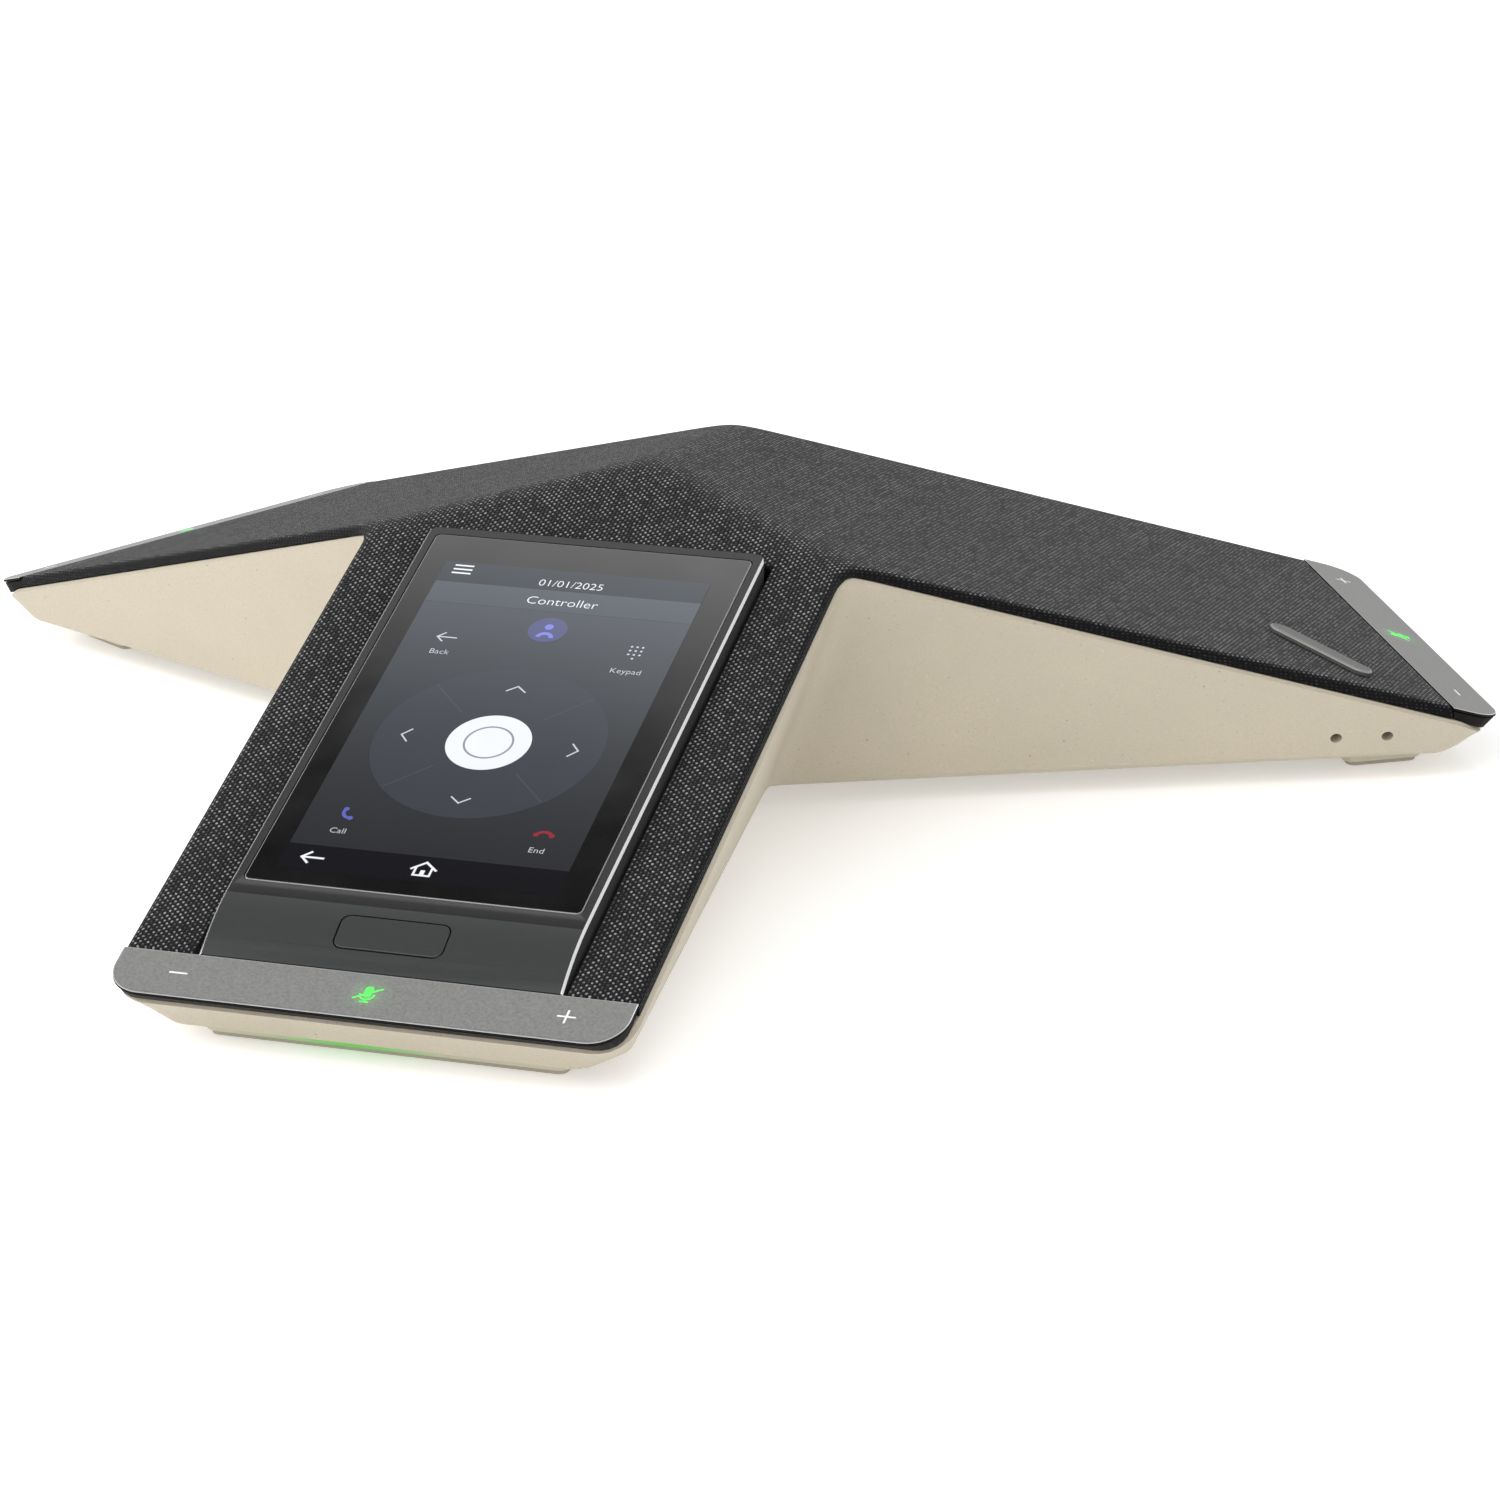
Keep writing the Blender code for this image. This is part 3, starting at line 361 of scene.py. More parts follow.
def light_guide():
    """Cream diffuser whose outer face glows green round the middle of an arm."""
    g = Graph("light_guide", Roughness=0.45)
    r, t = g.split(g.local("arm"))[:2]
    base = srgb(205, 197, 180)
    grain = g.noise(g.place(), 1700.0, 2.0)
    away = g.math("SUBTRACT", t, GLOW_T)
    broad = g.math("EXPONENT", g.math("MULTIPLY", g.math("MULTIPLY", away, away), -GLOW_FALL))
    outer = g.spread(r, FOOT_FRONT - 4.0, FOOT_FRONT - 0.4)
    glow = g.math("MULTIPLY", broad, outer)
    g.set("Base Color", g.mix(glow, g.mix(grain, scaled(base, 0.93), scaled(base, 1.04)),
                              (0.13, 0.36, 0.10)))
    g.set("Emission Color", (0.12, 0.55, 0.08))
    g.set("Emission Strength", g.math("MULTIPLY", glow, 0.45))
    g.bump(grain, 0.03, 0.3)
    return g.material


def screen_light(name, *stops):
    """Lit part of the display under a glossy surface. Each stop is a share of the way down the
    display and its colour, and a single colour fills it evenly."""
    g = Graph(name, Roughness=0.09, Base_Color=(0.004, 0.004, 0.005, 1.0))
    _, s, _ = g.split(g.local("screen"))[:3]
    along = g.spread(s, LCD_TOP, LCD_LOW)
    pixels = g.noise(g.local("screen"), 0.05, 2.0)
    if len(stops) == 1:
        stops = ((0.0, stops[0]), (1.0, stops[0]))
    g.set("Emission Color", g.ramp(along, stops))
    g.set("Emission Strength", g.spread(pixels, 0.2, 0.8, 0.96, 1.04))
    return g.material


def cover_glass_material():
    """Black printed glass with faint smears in its gloss."""
    g = Graph("printed_glass", Specular_IOR_Level=0.5)
    smear = g.noise(g.place(), 60.0, 3.0)
    g.set("Base Color", g.mix(smear, (0.0035, 0.0035, 0.004), (0.0055, 0.0055, 0.006)))
    g.set("Roughness", g.spread(smear, 0.3, 0.7, 0.07, 0.11))
    return g.material


def bar_icon(name, colour, strength):
    g = Graph(name, Roughness=0.4)
    fine = g.noise(g.place(), 900.0, 2.0)
    g.set("Base Color", g.mix(fine, scaled(colour, 0.9), colour))
    g.set("Emission Color", g.mix(fine, colour, scaled(colour, 0.85)))
    g.set("Emission Strength", strength)
    return g.material


# ---------------------------------------------------------------- mesh helpers

def new_piece(name, bm, materials, body="phone", smooth=30.0, replaces=()):
    bmesh.ops.recalc_face_normals(bm, faces=bm.faces)
    mesh = bpy.data.meshes.new(name)
    bm.to_mesh(mesh)
    bm.free()
    if smooth:
        mesh.shade_smooth()
        mesh.set_sharp_from_angle(angle=math.radians(smooth))
    piece = bpy.data.objects.new(name, mesh)
    bpy.context.scene.collection.objects.link(piece)
    for material in materials:
        mesh.materials.append(material)
    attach(piece, body)
    if replaces:
        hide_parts(*replaces)
    return piece


def add_ring(bm, points):
    return [bm.verts.new(point * MM) for point in points]


def bridge(bm, first, second, index=0):
    count = len(first)
    for i in range(count):
        j = (i + 1) % count
        face = bm.faces.new((first[i], first[j], second[j], second[i]))
        face.material_index = index


def loft(bm, rings, bands=None, caps=(0, 0)):
    made = [add_ring(bm, ring) for ring in rings]
    for i, (first, second) in enumerate(zip(made, made[1:])):
        bridge(bm, first, second, bands[i] if bands else 0)
    if caps is not None:
        bm.faces.new(made[0]).material_index = caps[0]
        bm.faces.new(made[-1]).material_index = caps[1]
    return made


def mark_points(piece, name, function):
    """Stores a local place for the materials at each point of a piece."""
    layer = piece.data.attributes.new(name, "FLOAT_VECTOR", "POINT")
    for vertex, item in zip(piece.data.vertices, layer.data):
        item.vector = function(vertex.co / MM)


def arm_place(arm):
    along, across = arm_axes(arm)

    def local(point):
        offset = point - Vector((0, HUB_Y, 0))
        return along.dot(offset), across.dot(offset), point.z
    return local


# ---------------------------------------------------------------- outlines

def inner_corner(half):
    return half / math.tan(math.radians(60))


def tip_points(half, reach, radius, steps=10):
    if not radius:
        return [(reach, -half), (reach, half)]
    points = []
    for i in range(steps + 1):
        angle = math.radians(90 * i / steps)
        points.append((reach - radius + radius * math.sin(angle),
                       -(half - radius) - radius * math.cos(angle)))
    return points + [(r, -t) for r, t in reversed(points)]


def between(first, second, count):
    """Points that divide a straight side."""
    return [first.lerp(second, (i + 1) / count) for i in range(count - 1)]


def cover_ring(half, inset):
    """Plan outline of the cloth, with inset at the arm ends and the display notch."""
    order = ("right", "left", "front")
    reach = BAR_INNER - COVER_GAP - inset
    corner_r = inner_corner(half)
    near = corner_r + CORNER_SOFTNESS
    wide, start = NOTCH_HALF + inset, NOTCH_START - inset
    plan = []
    for index, arm in enumerate(order):
        following = order[(index + 1) % 3]
        side = on_arm(arm, near, -half, 0)
        tip = [on_arm(arm, reach, -half, 0), on_arm(arm, reach, half, 0)]
        plan.extend(between(side, tip[0], 12))
        plan.append(tip[0])
        if arm == "front":
            plan.append(on_arm(arm, reach, -wide, 0))
            plan.extend(between(plan[-1], on_arm(arm, start, -wide, 0), 10))
            plan.append(on_arm(arm, start, -wide, 0))
            plan.extend(between(plan[-1], on_arm(arm, start, wide, 0), 6))
            plan.append(on_arm(arm, start, wide, 0))
            plan.extend(between(plan[-1], on_arm(arm, reach, wide, 0), 10))
            plan.append(on_arm(arm, reach, wide, 0))
        plan.append(tip[1])
        plan.extend(between(tip[1], on_arm(arm, near, half, 0), 12))
        first = on_arm(arm, near, half, 0)
        corner = on_arm(arm, corner_r, half, 0)
        last = on_arm(following, near, -half, 0)
        for i in range(9):
            k = i / 8
            plan.append(first * (1 - k) ** 2 + corner * 2 * k * (1 - k) + last * k ** 2)
    return plan


def cloth_points(plan, drop):
    """Lifts a plan outline to drop under the top, or with no drop to just over the lip."""
    points = []
    for point in plan:
        z = lip_height(max(arm_reaches(point))) + GAP if drop is None else top_height(point) - drop
        points.append(point + Vector((0, 0, z)))
    return points


# ---------------------------------------------------------------- cloth cover

def close_top(bm, ring, drop, layer):
    """Caps a ring and lifts the cap to the top's height, with cuts across and along the arms."""
    face = bm.faces.new(ring)
    geometry = [face] + list(face.edges) + list(face.verts)
    for arm in ARM_ANGLE:
        along, across = arm_axes(arm)
        cuts = [(across, offset) for offset in (-16, -12, -9, -6.5, -4.5, -2.5, -1, 0, 1, 2.5, 4.5,
                                                6.5, 9, 12, 16, -40, -28, 28, 40)]
        cuts += [(along, offset) for offset in range(44, 176, 12)]
        for normal, offset in cuts:
            origin = (Vector((0, HUB_Y, 0)) + normal * offset) * MM
            result = bmesh.ops.bisect_plane(bm, geom=geometry, plane_co=origin, plane_no=normal)
            kept = set(geometry) | set(result["geom"])
            geometry = [item for item in kept if item.is_valid]
    for vert in {v for v in geometry if isinstance(v, bmesh.types.BMVert)}:
        point = vert.co / MM
        vert.co.z = (top_height(point) - drop) * MM
        vert[layer] = Vector((point.x, point.y, 0.0))


def cloth_cover(material):
    """One stretched cloth over the grille frame, turned down round all its edges."""
    bm = bmesh.new()
    layer = bm.verts.layers.float_vector.new("weave")
    steps = 7
    rings = [(ARM_HALF + 0.1, 0.0, None, SKIRT_ROUND + 3.1)]
    for i in range(steps + 1):
        angle = math.radians(90 * i / steps)
        half = ARM_HALF - SKIRT_ROUND * (1 - math.cos(angle))
        inset = END_ROUND * (1 - math.cos(angle))
        drop = SKIRT_DROP * (1 - math.sin(angle))
        rings.append((half, inset, drop, SKIRT_ROUND * math.radians(90) * (1 - i / steps)))
    outer = []
    for half, inset, drop, length in rings:
        plan = cover_ring(half, inset)
        flat = cover_ring(ARM_HALF - SKIRT_ROUND + length, END_ROUND - length * 0.2)
        made = add_ring(bm, cloth_points(plan, drop))
        for vert, place in zip(made, flat):
            vert[layer] = Vector((place.x, place.y, length))
        outer.append(made)
    inner = []
    for half, drop in ((ARM_HALF - CLOTH, None), (ARM_HALF - CLOTH, CLOTH + 0.8),
                       (ARM_HALF - SKIRT_ROUND - 0.3, CLOTH)):
        plan = cover_ring(half, CLOTH)
        made = add_ring(bm, cloth_points(plan, drop))
        for vert, place in zip(made, plan):
            vert[layer] = Vector((place.x, place.y, 4.0))
        inner.append(made)
    for group in (outer, inner):
        for first, second in zip(group, group[1:]):
            bridge(bm, first, second)
    bridge(bm, outer[0], inner[0])
    close_top(bm, outer[-1], 0.0, layer)
    close_top(bm, inner[-1], CLOTH, layer)
    piece = new_piece("cloth_cover", bm, [material], smooth=50.0,
                      replaces=("fabric_cover",))


# ---------------------------------------------------------------- refined CAD shapes

def refined(node, material, edge=None, width=0.25, segments=2, angle=30.0,
            body="phone", more=(), choose=None):
    """Copy of a CAD node with its sharp edges rounded, which stands for the node. choose gives
    a face's place among the materials, and without it only the roundings take the edge's."""
    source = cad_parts[node]
    bm = bmesh.new()
    bm.from_mesh(source.data)
    bm.transform(source.matrix_world)
    bmesh.ops.remove_doubles(bm, verts=bm.verts, dist=2e-6)
    bmesh.ops.dissolve_limit(bm, angle_limit=math.radians(0.4), verts=bm.verts, edges=bm.edges)
    bm.normal_update()
    for face in bm.faces:
        face.material_index = choose(face) if choose else 0
    piece = new_piece(node + "_shell", bm, [material] + ([edge] if edge else []) + list(more),
                      body, smooth=angle, replaces=(node,))
    rounding = piece.modifiers.new("Rounding", "BEVEL")
    rounding.width = width * MM
    rounding.segments = segments
    rounding.limit_method = "ANGLE"
    rounding.angle_limit = math.radians(angle)
    rounding.harden_normals = True
    if edge and not choose:
        rounding.material = 1
    return piece


def touch_bar(arm, paint, edge, side):
    """Painted plate with a bright cut edge round its face and a black side."""
    def ring(inset, drop):
        half, reach = ARM_HALF - inset, ARM_REACH - inset
        points = tip_points(half, reach, TIP_RADIUS - inset)
        points += [(BAR_INNER + inset, half), (BAR_INNER + inset, -half)]
        return [on_arm(arm, r, t, plane_height(r) - drop) for r, t in points]
    bm = bmesh.new()
    loft(bm, [ring(0.2, BAR_THICK), ring(0.0, BAR_THICK - 0.15), ring(0.0, 0.16),
              ring(0.04, 0.04), ring(0.16, 0.0), ring(0.6, 0.0)],
         bands=[2, 2, 1, 1, 0], caps=(2, 0))
    piece = new_piece("touch_plate_" + arm, bm, [paint, edge, side], smooth=24.0,
                      replaces=("touch_bar_" + arm,))
    mark_points(piece, "arm", arm_place(arm))


def light_foot(arm, material):
    """Diffuser foot with rounded edges under an arm's end."""
    middle = (FOOT_FRONT + FOOT_BACK) / 2
    half_r = (FOOT_FRONT - FOOT_BACK) / 2

    def ring(inset, z):
        points = []
        radius = FOOT_RADIUS - inset
        for quarter, (su, sv) in enumerate(((1, 1), (-1, 1), (-1, -1), (1, -1))):
            for i in range(7):
                a = math.radians(90 * (quarter + i / 6))
                u = su * (half_r - FOOT_RADIUS) + radius * math.cos(a)
                v = sv * (FOOT_HALF - FOOT_RADIUS) + radius * math.sin(a)
                points.append(on_arm(arm, middle + u, v, z))
        return points
    low = PAD_THICK + GAP
    bm = bmesh.new()
    loft(bm, [ring(0.5, low), ring(0.15, low + 0.12), ring(0, low + 0.5),
              ring(0, UNDERSIDE_Z - GAP)])
    piece = new_piece("glow_foot_" + arm, bm, [material],
                      replaces=("foot_light_guide_" + arm,))
    mark_points(piece, "arm", arm_place(arm))


# ---------------------------------------------------------------- flat marks

def disc(x, y, radius, steps=48):
    return [[(x + radius * math.cos(math.tau * i / steps), y + radius * math.sin(math.tau * i / steps))
             for i in range(steps)]]


def ring_shape(x, y, radius, width, start=0.0, end=360.0, steps=48):
    shapes = []
    for i in range(steps):
        first = math.radians(start + (end - start) * i / steps)
        second = math.radians(start + (end - start) * (i + 1) / steps)
        low, high = radius - width / 2, radius + width / 2
        shapes.append([(x + low * math.cos(first), y + low * math.sin(first)),
                       (x + high * math.cos(first), y + high * math.sin(first)),
                       (x + high * math.cos(second), y + high * math.sin(second)),
                       (x + low * math.cos(second), y + low * math.sin(second))])
    return shapes


def stroke(points, width):
    shapes = []
    for (x0, y0), (x1, y1) in zip(points, points[1:]):
        length = math.hypot(x1 - x0, y1 - y0)
        dx, dy = (x1 - x0) / length * width / 2, (y1 - y0) / length * width / 2
        shapes.append([(x0 - dx - dy, y0 - dy + dx), (x0 - dx + dy, y0 - dy - dx),
                       (x1 + dx + dy, y1 + dy - dx), (x1 + dx - dy, y1 + dy + dx)])
    return shapes


def box_shape(x0, y0, x1, y1):
    return [[(x0, y0), (x1, y0), (x1, y1), (x0, y1)]]


def text_shape(words, x, y, size):
    """Outline of generic lettering as flat polygons, centred at x, with its base line at y."""
    curve = bpy.data.curves.new("words", "FONT")
    curve.body = words
    curve.size = size
    curve.align_x = "CENTER"
    curve.resolution_u = 3
    curve.offset = -0.012 * size
    holder = bpy.data.objects.new("words", curve)
    bpy.context.scene.collection.objects.link(holder)
    evaluated = holder.evaluated_get(bpy.context.evaluated_depsgraph_get())
    mesh = bpy.data.meshes.new_from_object(evaluated)
    shapes = [[(x + mesh.vertices[i].co.x, y - mesh.vertices[i].co.y) for i in face.vertices]
              for face in mesh.polygons]
    bpy.data.objects.remove(holder)
    bpy.data.meshes.remove(mesh)
    return shapes


def plates(name, shapes, axes, low, high, material, layer=None):
    """Thin raised marks: shapes are (x, y) polygons on axes (u, v, normal, origin)."""
    u_axis, v_axis, normal, origin = axes
    bm = bmesh.new()
    for shape in shapes:
        rings = []
        for level in (low, high):
            rings.append([origin + u_axis * x + v_axis * y + normal * level for x, y in shape])
        loft(bm, rings)
    bmesh.ops.remove_doubles(bm, verts=bm.verts, dist=1e-7)
    piece = new_piece(name, bm, [material], smooth=0.0)
    if layer:
        def local(point):
            offset = point - origin
            return u_axis.dot(offset), v_axis.dot(offset), 0.0
        mark_points(piece, layer, local)


def screen_axes():
    lean, across, normal, origin = slope_frame("front", GLASS_START, SCREEN_RISE)
    return across, lean, normal, origin - across * PICTURE_SHIFT


def chevron(x, y, dx, dy, reach, spread_out, width):
    """Open arrow head whose point is at (x, y) + direction * reach."""
    tip = (x + dx * reach, y + dy * reach)
    first = (x + dy * spread_out, y - dx * spread_out)
    second = (x - dy * spread_out, y + dx * spread_out)
    return stroke([first, tip, second], width)


def arrow_left(x, y, length, head, width):
    shapes = stroke([(x + length / 2, y), (x - length / 2, y)], width)
    return shapes + stroke([(x - length / 2 + head, y - head), (x - length / 2, y),
                            (x - length / 2 + head, y + head)], width)


def handset(x, y, size, turn):
    """Simple telephone handset as an arc with two pads."""
    shapes = ring_shape(x, y, size, size * 0.42, turn - 62, turn + 62, 14)
    for side in (-1, 1):
        angle = math.radians(turn + side * 62)
        shapes += disc(x + size * math.cos(angle), y + size * math.sin(angle), size * 0.33, 14)
    return shapes


def screen_part(name, shapes, level, *stops):
    """One printed layer of the display. A higher level lies over a lower one."""
    low, high = SCREEN_LEVELS[level]
    plates("screen_" + name, shapes, screen_axes(), low, high, screen_light("screen_" + name, *stops),
           "screen")


def wheel_seams():
    seams = []
    for turn in (45, 135, 225, 315):
        a = math.radians(turn)
        seams += stroke([(WHEEL_X + r * math.cos(a), WHEEL_Y + r * math.sin(a))
                         for r in (13.5, 25.5)], 0.45)
    return seams


def bright_marks():
    """Middle of the wheel, menu, back and home marks, and the two lines of text."""
    marks = disc(WHEEL_X, WHEEL_Y, 9.5, 64)
    for y in (11.4, 12.8, 14.2):
        marks += stroke([(-28.6, y), (-24.6, y)], 0.5)
    marks += arrow_left(-24.7, 116.5, 4.8, 1.7, 0.55)
    marks += stroke([(-2.2, 116.6), (0.5, 114.3), (3.2, 116.6)], 0.55)
    marks += stroke([(-1.3, 116.3), (-1.3, 118.6), (2.3, 118.6), (2.3, 116.3)], 0.5)
    marks += box_shape(0.0, 116.9, 1.0, 118.6)
    marks += text_shape("01/01/2025", 0.1, 16.2, 3.4)
    return marks + text_shape("Controller", 0.1, 23.0, 3.9)


def label_marks():
    """Small arrow, key pad dots, the wheel's four chevrons and the four labels."""
    marks = arrow_left(-21.8, 37.8, 4.4, 1.5, THIN)
    for i in range(3):
        for j in range(3):
            marks += disc(20.9 + 1.3 * i, 35.2 + 1.4 * j, 0.3, 12)
    marks += disc(22.2, 39.4, 0.3, 12)
    for x, y, dx, dy in ((0.2, 54.6, 0, -1), (0.4, 92.2, 0, 1), (-18.2, 73.0, -1, 0),
                         (18.8, 72.8, 1, 0)):
        marks += chevron(x, y, dx, dy, 1.8, 2.1, THIN)
    for words, x, y in (("Back", -21.8, 43.9), ("Keypad", 22.2, 44.9), ("Call", -22.4, 107.8),
                        ("End", 22.4, 107.6)):
        marks += text_shape(words, x, y, 2.45)
    return marks


def display_picture():
    screen_part("picture", box_shape(-LCD_HALF, LCD_TOP, LCD_HALF, NAV_TOP), "back",
                (0.0, srgb(64, 70, 79)), (0.16, srgb(64, 70, 79)), (0.35, srgb(60, 65, 71)),
                (0.6, srgb(52, 54, 57)), (1.0, srgb(38, 39, 41)))
    screen_part("status", box_shape(-LCD_HALF, LCD_TOP, LCD_HALF, STATUS_LOW), "band",
                srgb(18, 32, 45))
    screen_part("title_band", box_shape(-LCD_HALF, STATUS_LOW, LCD_HALF, TITLE_LOW), "band",
                srgb(68, 76, 87))
    screen_part("navigation_band", box_shape(-LCD_HALF, NAV_TOP, LCD_HALF, LCD_LOW), "back",
                srgb(5, 5, 10))
    screen_part("wheel", disc(WHEEL_X, WHEEL_Y, 26.0, 96), "band",
                (0.0, srgb(66, 73, 82)), (0.55, srgb(61, 66, 73)), (1.0, srgb(57, 60, 65)))
    screen_part("wheel_seams", wheel_seams(), "seam", (0.0, srgb(74, 80, 89)),
                (1.0, srgb(66, 70, 76)))
    screen_part("marks", bright_marks(), "mark", (0.92, 0.94, 0.97))
    screen_part("labels", label_marks(), "mark", srgb(208, 212, 218))
    screen_part("wheel_ring", ring_shape(WHEEL_X, WHEEL_Y, 5.4, 0.5), "ring", srgb(150, 155, 172))
    screen_part("call_mark", handset(-21.4, 100.6, 1.9, 148.0), "mark", srgb(96, 104, 190))
    screen_part("portrait_halo", disc(0.1, 32.0, 4.5, 48), "seam", srgb(78, 84, 128))
    figure = disc(0.1, 30.9, 1.0, 20) + ring_shape(0.1, 34.9, 1.6, 1.0, 185, 355, 14)
    screen_part("portrait_figure", figure, "mark", srgb(126, 134, 222))
    screen_part("end_mark", handset(22.4, 102.6, 2.0, 270.0), "mark", srgb(150, 44, 56))


def clipped(shape, nx, ny, limit):
    """Part of a polygon on the side where nx * x + ny * y is at least limit."""
    result = []
    for (x0, y0), (x1, y1) in zip(shape, shape[1:] + shape[:1]):
        first, second = nx * x0 + ny * y0 - limit, nx * x1 + ny * y1 - limit
        if first >= 0:
            result.append((x0, y0))
        if first * second < 0:
            k = first / (first - second)
            result.append((x0 + (x1 - x0) * k, y0 + (y1 - y0) * k))
    return result


def mute_mark():
    """Microphone with a stroke through it, drawn with its top towards the hub."""
    capsule = [(0.85 * math.cos(math.tau * i / 32),
                0.85 * math.sin(math.tau * i / 32) + (0.1 if i <= 16 else -1.5))
               for i in range(32)]
    shapes = [capsule] + ring_shape(0, 0.05, 1.6, MUTE_WIDTH, 0, 180, 20)
    shapes += stroke([(0, 1.7), (0, 2.3)], MUTE_WIDTH) + stroke([(-0.8, 2.4), (0.8, 2.4)], MUTE_WIDTH)
    start, end = (-2.7, 1.5), (2.7, -1.9)
    length = math.hypot(end[0] - start[0], end[1] - start[1])
    nx, ny = -(end[1] - start[1]) / length, (end[0] - start[0]) / length
    middle = nx * start[0] + ny * start[1]
    kept = []
    for shape in shapes:
        for sign in (1, -1):
            part = clipped(shape, sign * nx, sign * ny, sign * middle + 0.34)
            if len(part) > 2:
                kept.append(part)
    return kept + stroke([start, end], MUTE_WIDTH)


def bar_marks(arm, pale, green):
    """Volume signs and the lit mute mark on a touch bar."""
    lean, across, normal, origin = slope_frame(arm, MARK_R, 0.0)
    axes = (across, lean, normal, origin)
    signs = stroke([(MINUS_T - MARK_HALF, 0), (MINUS_T + MARK_HALF, 0)], MARK_WIDTH)
    signs += stroke([(PLUS_T - MARK_HALF, 0), (PLUS_T + MARK_HALF, 0)], MARK_WIDTH)
    signs += stroke([(PLUS_T, -MARK_HALF), (PLUS_T, MARK_HALF)], MARK_WIDTH)
    plates("volume_marks_" + arm, signs, axes, -0.02, 0.03, pale)
    plates("mute_mark_" + arm, mute_mark(), axes, -0.02, 0.03, green)


# ---------------------------------------------------------------- finishes for CAD nodes

def bezel_face(face):
    """0 for the bezel's paint, 1 for its bright side chamfers, whose near-white metal is a painted
    highlight, 2 for the dark rim by the glass, a near-black copy of the paint on the top faces that is
    painted shade, and 3 for the satin sides, a lighter copy that is painted light lifting their shade."""
    normal = face.normal
    if 0.35 < abs(normal.x) < 0.93 and normal.z > 0.2:
        return 1
    if abs(normal.x) >= 0.93:
        return 3
    _, _, up, start = slope_frame("front", 0, 0)
    rise = min(up.dot(corner.co / MM - start) for corner in face.verts)
    return 2 if normal.dot(up) > 0.99 and rise > SCREEN_RISE - 0.25 else 0


def dress(material, *nodes):
    for node in nodes:
        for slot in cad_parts[node].material_slots:
            slot.material = material


def arms(prefix):
    return [prefix + arm for arm in ARM_ANGLE]


def build_object():
    cream = cream_plastic()
    bright_edge = plain("bright_edge", (0.62, 0.62, 0.62), 0.3, 0.9, vary=0.05)
    badge_edge = plain("badge_edge", srgb(150, 149, 146), 0.35, 0.7, vary=0.05)
    bezel_paint = plain("bezel_paint", srgb(60, 62, 62), 0.36, 0.35, 1900.0, 0.02, 0.10)
    # Near-white metal for the bezel's side chamfers: painted highlight.
    bezel_edge_painted_highlight = plain("bezel_edge_painted_highlight", (0.85, 0.85, 0.84), 0.25, 0.7, vary=0.05)
    # Lighter copy of the bezel paint for its side faces: painted light lifting their shade.
    bezel_side_painted_light = plain("bezel_side_painted_light", (0.07, 0.07, 0.07), 0.5, 0.3)
    # Near-black copy of the bezel paint for its top faces by the glass: painted shade.
    bezel_rim_painted_shade = plain("bezel_rim_painted_shade", (0.012, 0.012, 0.012), 0.3, 0.3, vary=0.05)
    glass_edge = plain("glass_edge", (0.24, 0.24, 0.24), 0.25, 0.6, vary=0.05)
    gasket = plain("gasket", (0.007, 0.006, 0.005), 0.7, depth=0.02, Specular_IOR_Level=0.15)
    black = plain("inner_plastic", (0.022, 0.022, 0.023), 0.6)
    rubber = plain("rubber", (0.02, 0.02, 0.02), 0.85, grain=900.0, depth=0.08)
    sole = plain("sole_rubber", srgb(176, 169, 154), 0.8, grain=900.0, depth=0.06)
    steel = brushed("plated_steel", (0.62, 0.61, 0.6), 0.32)
    board = circuit_board()
    guide = light_guide()
    paint = bar_paint()

    cloth_cover(woven_cloth())
    for arm in ARM_ANGLE:
        touch_bar(arm, paint, bright_edge, gasket)
        light_foot(arm, guide)
        # The volume signs' print glows faintly: painted light, as no lamp lies behind it.
        bar_marks(arm, bar_icon("volume_print_painted_glow", (0.80, 0.80, 0.79), 0.15),
                  bar_icon("mute_light", (0.06, 0.72, 0.07), 0.9))
        refined("bar_carrier_" + arm, gasket, width=0.3)
        refined("rubber_foot_" + arm, sole, width=0.2)
    refined("base_housing", cream, width=0.45, segments=3, angle=22.0)
    refined("display_bezel", bezel_paint, bezel_edge_painted_highlight, width=0.2, segments=2, angle=35.0,
            more=[bezel_rim_painted_shade, bezel_side_painted_light], choose=bezel_face)
    refined("home_key", bezel_paint, width=0.15, angle=35.0, body="home_key")
    refined("cover_glass", cover_glass_material(), glass_edge, width=0.16, angle=20.0)
    refined("badge", plain("badge_metal", srgb(92, 91, 89), 0.4, 0.6), badge_edge, width=0.2)
    display_picture()

    dress(board, "main_board", "display_board", "port_board", *arms("touch_board_"),
          *arms("led_board_"), *arms("mic_board_"))
    dress(steel, "shield_can", "backlight_unit", "ethernet_jack", "usb_a_socket", "usb_c_socket",
          "speaker_basket", *["base_screw_%d" % i for i in range(1, 7)])
    dress(black, "grille_frame", "port_bay", "speaker_chamber", "key_switch")
    dress(rubber, "speaker_surround", *arms("mic_boot_"))
    dress(plain("mute_guide", srgb(205, 200, 190), 0.4), *arms("mute_light_guide_"))
    dress(plain("ferrite", (0.05, 0.05, 0.052), 0.55, grain=700.0, depth=0.06), "speaker_magnet")
    dress(plain("cone_paper", (0.04, 0.04, 0.04), 0.85, grain=400.0, depth=0.15), "speaker_cone")
    dress(plain("panel", (0.02, 0.022, 0.03), 0.25), "lcd_panel")


# ---------------------------------------------------------------- studio

CAMERA_PLACE = Vector((0.3920, -1.1041, 0.4472))
CAMERA_YAW = -18.086
CAMERA_PITCH = 20.341
CAMERA_ROLL = -0.932
CAMERA_LENS = 129.1
WORLD_STRENGTH = 2.6
WORLD_LEAN = -0.36
FLOOR_RADIUS = 6.0
FLOOR_GLOW = 0.32

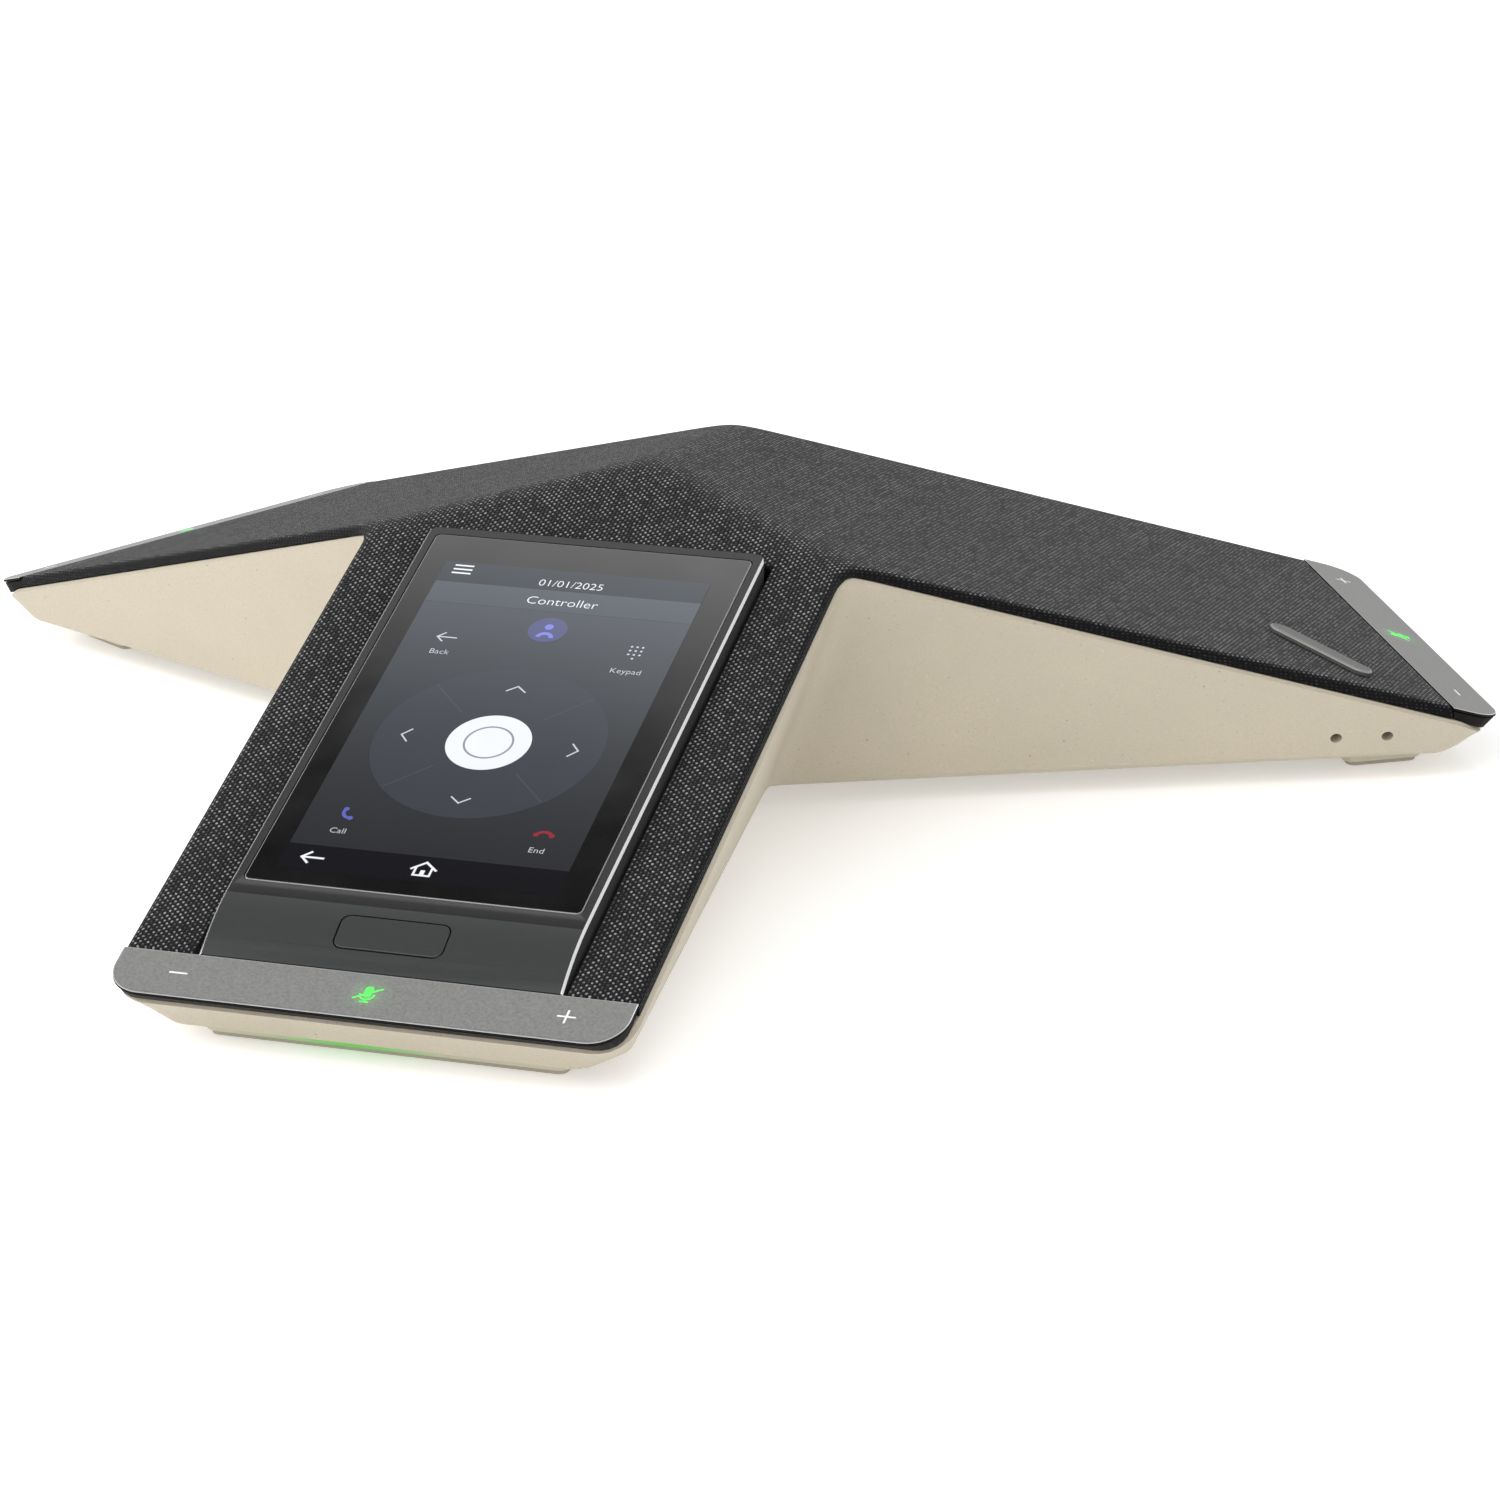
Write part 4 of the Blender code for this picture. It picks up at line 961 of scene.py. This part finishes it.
# Light from the sky by height, minus a share of X: even low down, a bright band, dark on top
SKY = ((0.0, 0.30), (0.77, 0.30), (0.83, 1.0), (0.895, 1.0), (0.902, 0.58), (0.909, 0.34),
       (0.914, 0.12), (0.921, 0.02), (0.94, 0.01), (1.0, 0.10))


def place_camera():
    yaw, pitch, roll = (math.radians(a) for a in (CAMERA_YAW, CAMERA_PITCH, CAMERA_ROLL))
    ahead = Vector((math.sin(yaw) * math.cos(pitch), math.cos(yaw) * math.cos(pitch),
                    -math.sin(pitch)))
    side = ahead.cross(Vector((0, 0, 1))).normalized()
    up = side.cross(ahead)
    right = side * math.cos(roll) + up * math.sin(roll)
    top = up * math.cos(roll) - side * math.sin(roll)
    data = bpy.data.cameras.new("camera")
    data.lens = CAMERA_LENS
    data.sensor_width = 36.0
    data.clip_start = 0.05
    data.clip_end = 50.0
    camera = bpy.data.objects.new("camera", data)
    matrix = Matrix.Identity(4)
    for column, axis in enumerate((right, top, -ahead, CAMERA_PLACE)):
        for row in range(3):
            matrix[row][column] = axis[row]
    camera.matrix_world = matrix
    bpy.context.scene.collection.objects.link(camera)
    bpy.context.scene.camera = camera


def softbox(name, place, target, size, power):
    data = bpy.data.lights.new(name, "AREA")
    data.shape = "RECTANGLE"
    data.size, data.size_y = size
    data.energy = power
    light = bpy.data.objects.new(name, data)
    light.location = place
    light.rotation_mode = "QUATERNION"
    light.rotation_quaternion = (Vector(target) - Vector(place)).to_track_quat("-Z", "Y")
    bpy.context.scene.collection.objects.link(light)


def studio():
    g = Graph("floor", Roughness=0.9)
    g.set("Base Color", g.mix(g.noise(g.place(), 3.0), (0.90, 0.90, 0.90), (0.92, 0.92, 0.92)))
    g.set("Emission Color", (1.0, 1.0, 1.0))
    g.set("Emission Strength", FLOOR_GLOW)
    bm = bmesh.new()
    bmesh.ops.create_circle(bm, cap_ends=True, radius=FLOOR_RADIUS, segments=96)
    mesh = bpy.data.meshes.new("floor")
    bm.to_mesh(mesh)
    bm.free()
    mesh.materials.append(g.material)
    floor = bpy.data.objects.new("floor", mesh)
    bpy.context.scene.collection.objects.link(floor)

    world = bpy.data.worlds.new("studio")
    bpy.context.scene.world = world
    world.use_nodes = True
    nodes, links = world.node_tree.nodes, world.node_tree.links
    coordinates = nodes.new("ShaderNodeTexCoord")
    split = nodes.new("ShaderNodeSeparateXYZ")
    lean = nodes.new("ShaderNodeMath")
    lean.operation = "MULTIPLY_ADD"
    lean.inputs[1].default_value = WORLD_LEAN
    ramp = nodes.new("ShaderNodeValToRGB")
    links.new(coordinates.outputs["Generated"], split.inputs[0])
    links.new(split.outputs["X"], lean.inputs[0])
    links.new(split.outputs["Z"], lean.inputs[2])
    links.new(lean.outputs[0], ramp.inputs["Fac"])
    links.new(ramp.outputs[0], nodes["Background"].inputs["Color"])
    nodes["Background"].inputs["Strength"].default_value = WORLD_STRENGTH
    band = ramp.color_ramp
    while len(band.elements) < len(SKY):
        band.elements.new(0.5)
    for element, (position, level) in zip(band.elements, SKY):
        element.position = position
        element.color = (level, level, level, 1.0)
    softbox("key", (-0.40, -1.15, 1.1), (0, 0, 0), (1.5, 1.2), 9.5)
    softbox("side", (-1.9, -0.6, 1.0), (0, 0, 0), (1.2, 1.0), 12.0)
    scene = bpy.context.scene
    scene.view_settings.view_transform = "Standard"
    scene.view_settings.look = "None"


place_camera()
build_object()
studio()
